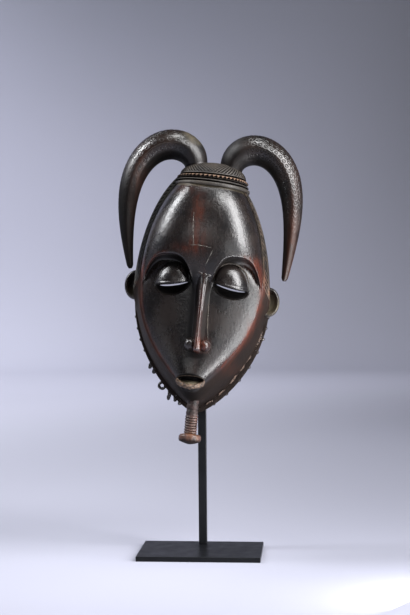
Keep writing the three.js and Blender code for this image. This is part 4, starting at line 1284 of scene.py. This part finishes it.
# Head: both slits are cut through its mesh, and its attributes are worked out afterwards
def buildHead():
    head = makePiece("carvedHead", headShell(), wood["face"], "mask")
    bars = [slitCutter(-1), slitCutter(1)]
    for bar in bars:
        slit = head.modifiers.new("slit", "BOOLEAN")
        slit.operation, slit.solver, slit.object = "DIFFERENCE", "MANIFOLD", bar
    shown = head.evaluated_get(bpy.context.evaluated_depsgraph_get())
    finished = bpy.data.meshes.new_from_object(shown)
    head.modifiers.clear()
    head.data = finished
    for bar in bars:
        bpy.data.objects.remove(bar)
    finished.shade_smooth()
    finished.set_sharp_from_angle(angle=math.radians(sharpEdge))
    points = np.zeros(len(finished.vertices) * 3, np.float32)
    finished.vertices.foreach_get("co", points)
    points = points.reshape(-1, 3).astype(float)
    # groove carries the painted shade in the head's hollows; stain carries the crust and the painted light
    # inside the lower lip
    for key, valuesAt in (("rub", wearAt), ("side", sideAt), ("groove", paintedShadeAt), ("stain", crustAndLipLightAt)):
        setAttribute(finished, key, valuesAt(points))
    print("head", len(finished.polygons), "faces")


# Bars and plate of the stand: low and high corner of each box, how much their edges are rounded
stand = {
    "plate": [(-75, -47.5, 0), (75, 47.5, 6)],
    "plateBevel": 0.7, "rodBevel": 0.6, "bevelSteps": 3, "sharpAngle": 30,
    "bars": [
        [(-5, 27.2, 6.05), (5, 37.2, 424)],  # rod
        [(-3, 7, 293), (3, 32, 299)], [(-68, 7, 293.02), (71.4, 13, 298.98)],  # bracket and crossbar
        [(-3, -9.8, 418), (3, 32, 423.9)], [(-2.98, -9.78, 418.02), (2.98, -3.8, 457.6)],  # arm and prong
    ],
}


# Square-edged boxes, rounded by a bevel
def boxPiece(name, boxes, bevel, node):
    corner = np.array([(0, 0, 0), (1, 0, 0), (1, 1, 0), (0, 1, 0), (0, 0, 1), (1, 0, 1), (1, 1, 1), (0, 1, 1)])
    faces = np.array([(0, 3, 2, 1), (4, 5, 6, 7), (0, 1, 5, 4), (1, 2, 6, 5), (2, 3, 7, 6), (3, 0, 4, 7)])
    low, high = (np.array(ends)[:, None] for ends in zip(*boxes))
    points = ((low + corner * (high - low)) * mm).reshape(-1, 3)
    quads = (faces + len(corner) * np.arange(len(boxes))[:, None, None]).reshape(-1, 4)
    shell = points, quads, np.zeros((0, 3), int)
    piece = makePiece(name, shell, blackSteel, node, stand["sharpAngle"])
    rounding = piece.modifiers.new("edges", "BEVEL")
    rounding.width, rounding.segments, rounding.limit_method = bevel * mm, stand["bevelSteps"], "ANGLE"
    rounding.harden_normals = True


def buildPieces():
    buildHead()
    woodPiece("eyelids", joinShells([lidShell(-1), lidShell(1)]), "face")
    shell = noseShell()
    woodPiece("nose", shell, "nose", flankAt(shell[0]))
    woodPiece("nostrils", nostrilShells(), "face")
    woodPiece("noseRootKnot", joinShells(knotShells()), "face")
    shell, grooves = lipShell()
    woodPiece("lips", shell, "lip", grooves)
    line = raisedLine(lidLine, 0.8, 0.5, count=420, sides=14, lift=0.05, depthAt=plainDepth)
    woodPiece("lidAndNoseLine", line, "coiffure")
    scratches = [raisedLine(keys, 0.28, 0.2, count=120, sides=8, lift=0.02) for keys in scarLines]
    makePiece("foreheadScratches", joinShells(scratches), paleScratch, "mask")
    for name, side, finish in (("sideBandLeft", -1, "band"), ("sideBandRight", 1, "bandRight")):
        shell, grooves = bandShell(side)
        woodPiece(name, shell, finish, grooves)
    shell, grooves, beads = capShell()
    woodPiece("coiffure", shell, "coiffure", grooves, sharpAngle=60, rubbed=beads)
    for name, settings in (("hornLeft", hornLeft), ("hornRight", hornRight)):
        shell, grooves = hornShell(settings)
        woodPiece(name, shell, "horn", grooves, sharpAngle=80)
    shell = joinShells([earShell(*place) for place in ear["places"]])
    woodPiece("ears", shell, "face", rubbed=np.zeros(len(shell[0])))
    shell, grooves = beardShell()
    woodPiece("beard", shell, "beard", grooves, sharpAngle=70)
    stumps = [toothShell(index, *place) for index, place in enumerate(teeth)]
    woodPiece("collarTeeth", joinShells(stumps + [loopShell()]), "horn")
    breaks = [breakShell(index, *place) for index, place in enumerate(collarBreaks)]
    woodPiece("collarBreaks", joinShells(breaks), "break")
    boxPiece("basePlate", [stand["plate"]], stand["plateBevel"], "stand_base_plate")
    boxPiece("rodAndHolder", stand["bars"], stand["rodBevel"], "stand_rod_and_holder")
    print("pieces built")


buildPieces()

# Studio: a round pale bowl for floor and walls, so that every side has the same backdrop (metres)
studio = {"floorRadius": 2.9, "bend": 1.3, "wallTop": 4.2, "floorRings": (0.02, 0.5, 1.2, 2.0), "around": 96,
          "bendRows": 24}

# Paper: pale, with painted light and shade: soft darker and lighter areas so that it is greyer with distance
# and to the right
paper = {
    "wall": (0.566, 0.574, 0.682), "roughness": 0.9, "specular": 0.1,
    "paintedLightAndShade": [
        # colour, middle, distances where it is full and where it has faded out (metres)
        # Painted light and shade: darker floor, right side, wall top and area behind the camera, a painted
        # shadow right of the plate, lighter before it and at the wall's foot on the left
        ((0.275, 0.28, 0.332), (0, 0, 0), 0.6, 2.6),  # floor
        ((0.17, 0.174, 0.21), (1.05, 1.25, 0), 0.3, 1.7),  # floor on the right
        ((0.17, 0.174, 0.208), (0.65, 0.3, 0), 0.2, 0.95),  # right of the plate
        ((0.32, 0.325, 0.385), (-0.15, -0.12, 0), 0.05, 0.35),  # before the plate
        ((0.27, 0.28, 0.33), (-0.6, 4.2, 2.3), 0.5, 1.85),  # top of the wall
        ((0.73, 0.74, 0.87), (-1.0, 3.0, 0), 0, 1.2),  # foot of the wall on the left
        ((0.13, 0.133, 0.145), (1.5, 3.7, 1.5), 0.4, 2.9),  # wall on the right
        ((0.22, 0.22, 0.25), (0, -4.3, 1.5), 2.2, 4.3),  # behind the camera
        ((0.07, 0.07, 0.08), (-2.9, -3.0, 0.6), 0.8, 2.6),  # behind the camera on the left
    ],
}


def paperMaterial():
    material, tree, shader = newMaterial("palePaper")
    place = addNode(tree, "ShaderNodeTexCoord").outputs["Object"]
    colour = paper["wall"]
    for tone, middle, full, gone in paper["paintedLightAndShade"]:
        away = addNode(tree, "ShaderNodeVectorMath", {0: place, 1: middle}, operation="DISTANCE")
        near = addNode(tree, "ShaderNodeMapRange", {
            "Value": away.outputs["Value"], "From Min": gone, "From Max": full,
        }, interpolation_type="SMOOTHSTEP")
        colour = mixColour(tree, near.outputs[0], colour, tone)
    tree.links.new(colour, shader.inputs["Base Color"])
    shader.inputs["Roughness"].default_value = paper["roughness"]
    shader.inputs["Specular IOR Level"].default_value = paper["specular"]
    return material


# A profile turned round the upright axis: flat floor, a quarter circle, then the wall
def buildStudio():
    floor, r, bend = studio["floorRings"], studio["floorRadius"], studio["bend"]
    turn = np.linspace(0, 0.5 * math.pi, studio["bendRows"])
    radii = np.concatenate([floor, r + bend * np.sin(turn), [r + bend]])[:, None]
    heights = np.concatenate([0 * np.array(floor), bend * (1 - np.cos(turn)), [studio["wallTop"]]])[:, None]
    around = np.linspace(0, 2 * math.pi, studio["around"], endpoint=False)[None, :]
    points = np.stack([radii * np.cos(around), radii * np.sin(around), heights + 0 * around], axis=-1)
    numbers = np.arange(points.shape[0] * points.shape[1]).reshape(points.shape[:2])
    faces = gridQuads(numbers, closedColumns=True).tolist() + fan(numbers.size, numbers[0]).tolist()
    mesh = bpy.data.meshes.new("studioBowl")
    mesh.from_pydata(points.reshape(-1, 3).tolist() + [[0, 0, 0]], [], faces)
    mesh.shade_smooth()
    mesh.materials.append(paperMaterial())
    bowl = bpy.data.objects.new("studioBowl", mesh)
    bpy.context.scene.collection.objects.link(bowl)


lights = {
    # name: place, where it aims, width, height, watts, colour
    "keyRight": ((1.25, -0.50, 1.08), (0, 0, 0.38), 0.7, 1.35, 60, (1.0, 0.99, 1.0)),
    "keyTop": ((0.75, -0.85, 1.90), (0, 0, 0.42), 0.5, 0.5, 14, (1.0, 1.0, 1.0)),
    "lowRight": ((0.50, -0.20, 0.03), (0, 0, 0.25), 0.36, 0.6, 6, (1.0, 1.0, 1.0)),
    "besideMouth": ((0.26, -0.21, 0.02), (0, -0.06, 0.21), 0.12, 0.12, 1.3, (1.0, 1.0, 1.0)),
    "stripLeft": ((-1.30, -0.10, 1.50), (0, 0, 0.42), 0.3, 1.1, 38, (0.96, 0.97, 1.0)),
    "frontFill": ((1.15, -1.65, 0.25), (0, 0, 0.30), 0.8, 0.6, 5, (1.0, 1.0, 1.0)),
    "frontSoft": ((-0.12, -1.60, 0.82), (0, 0, 0.28), 0.7, 0.36, 1.9, (1.0, 1.0, 1.0)),
    "leftFill": ((-1.30, -1.50, 0.08), (0, 0, 0.20), 0.7, 0.2, 0.9, (1.0, 1.0, 1.0)),
    "backWash": ((-1.2, 0.9, 2.0), (-1.5, 3.4, 0.0), 1.5, 1.0, 46, (0.97, 0.98, 1.0)),
    "overhead": ((0.20, -0.15, 2.15), (0, 0, 0.4), 0.7, 0.5, 15, (1.0, 1.0, 1.0)),
}


room = {"colour": (0.80, 0.83, 1.0), "strength": 0.06}


def buildLights():
    for name, (place, aim, width, height, watts, colour) in lights.items():
        data = bpy.data.lights.new(name, "AREA")
        data.shape, data.size, data.size_y = "RECTANGLE", width, height
        data.energy, data.color = watts, colour
        lamp = bpy.data.objects.new(name, data)
        lamp.location = place
        lamp.rotation_euler = (Vector(aim) - Vector(place)).to_track_quat("-Z", "Y").to_euler()
        lamp.visible_camera = False
        bpy.context.scene.collection.objects.link(lamp)
    world = bpy.data.worlds.new("softRoom")
    world.use_nodes = True
    background = world.node_tree.nodes["Background"].inputs
    background["Color"].default_value = (*room["colour"], 1)
    background["Strength"].default_value = room["strength"]
    bpy.context.scene.world = world


# Camera: fitted to the plate's corners and the rod in the photograph (mm, degrees, pixels of 410 x 615)
view = {"distance": 1650, "height": 355, "azimuth": 4.97, "pitch": 1.80, "roll": -0.49, "focal": 1350,
        "imageHeight": 615, "axisOffset": 6, "sensorWidth": 36}


def buildCamera():
    azimuth, pitch, roll = (math.radians(view[key]) for key in ("azimuth", "pitch", "roll"))
    level = math.cos(pitch)
    forward = Vector((-math.sin(azimuth) * level, math.cos(azimuth) * level, -math.sin(pitch)))
    right = Vector((math.cos(azimuth), math.sin(azimuth), 0))
    up = right.cross(forward)
    turnedRight = right * math.cos(roll) + up * math.sin(roll)
    turnedUp = up * math.cos(roll) - right * math.sin(roll)
    data = bpy.data.cameras.new("photoCamera")
    data.sensor_width = view["sensorWidth"]
    data.lens = data.sensor_width * view["focal"] / view["imageHeight"]
    data.shift_x = view["axisOffset"] / view["imageHeight"]
    data.clip_start, data.clip_end = 0.05, 60
    camera = bpy.data.objects.new("photoCamera", data)
    matrix = Matrix((turnedRight, turnedUp, -forward)).transposed().to_4x4()
    matrix.translation = Vector((math.sin(azimuth) * view["distance"], -math.cos(azimuth) * view["distance"],
                                 view["height"])) * mm
    camera.matrix_world = matrix
    bpy.context.scene.collection.objects.link(camera)
    bpy.context.scene.camera = camera


buildStudio()
buildLights()
buildCamera()
bpy.context.scene.view_settings.view_transform = "Standard"
print("studio ready")
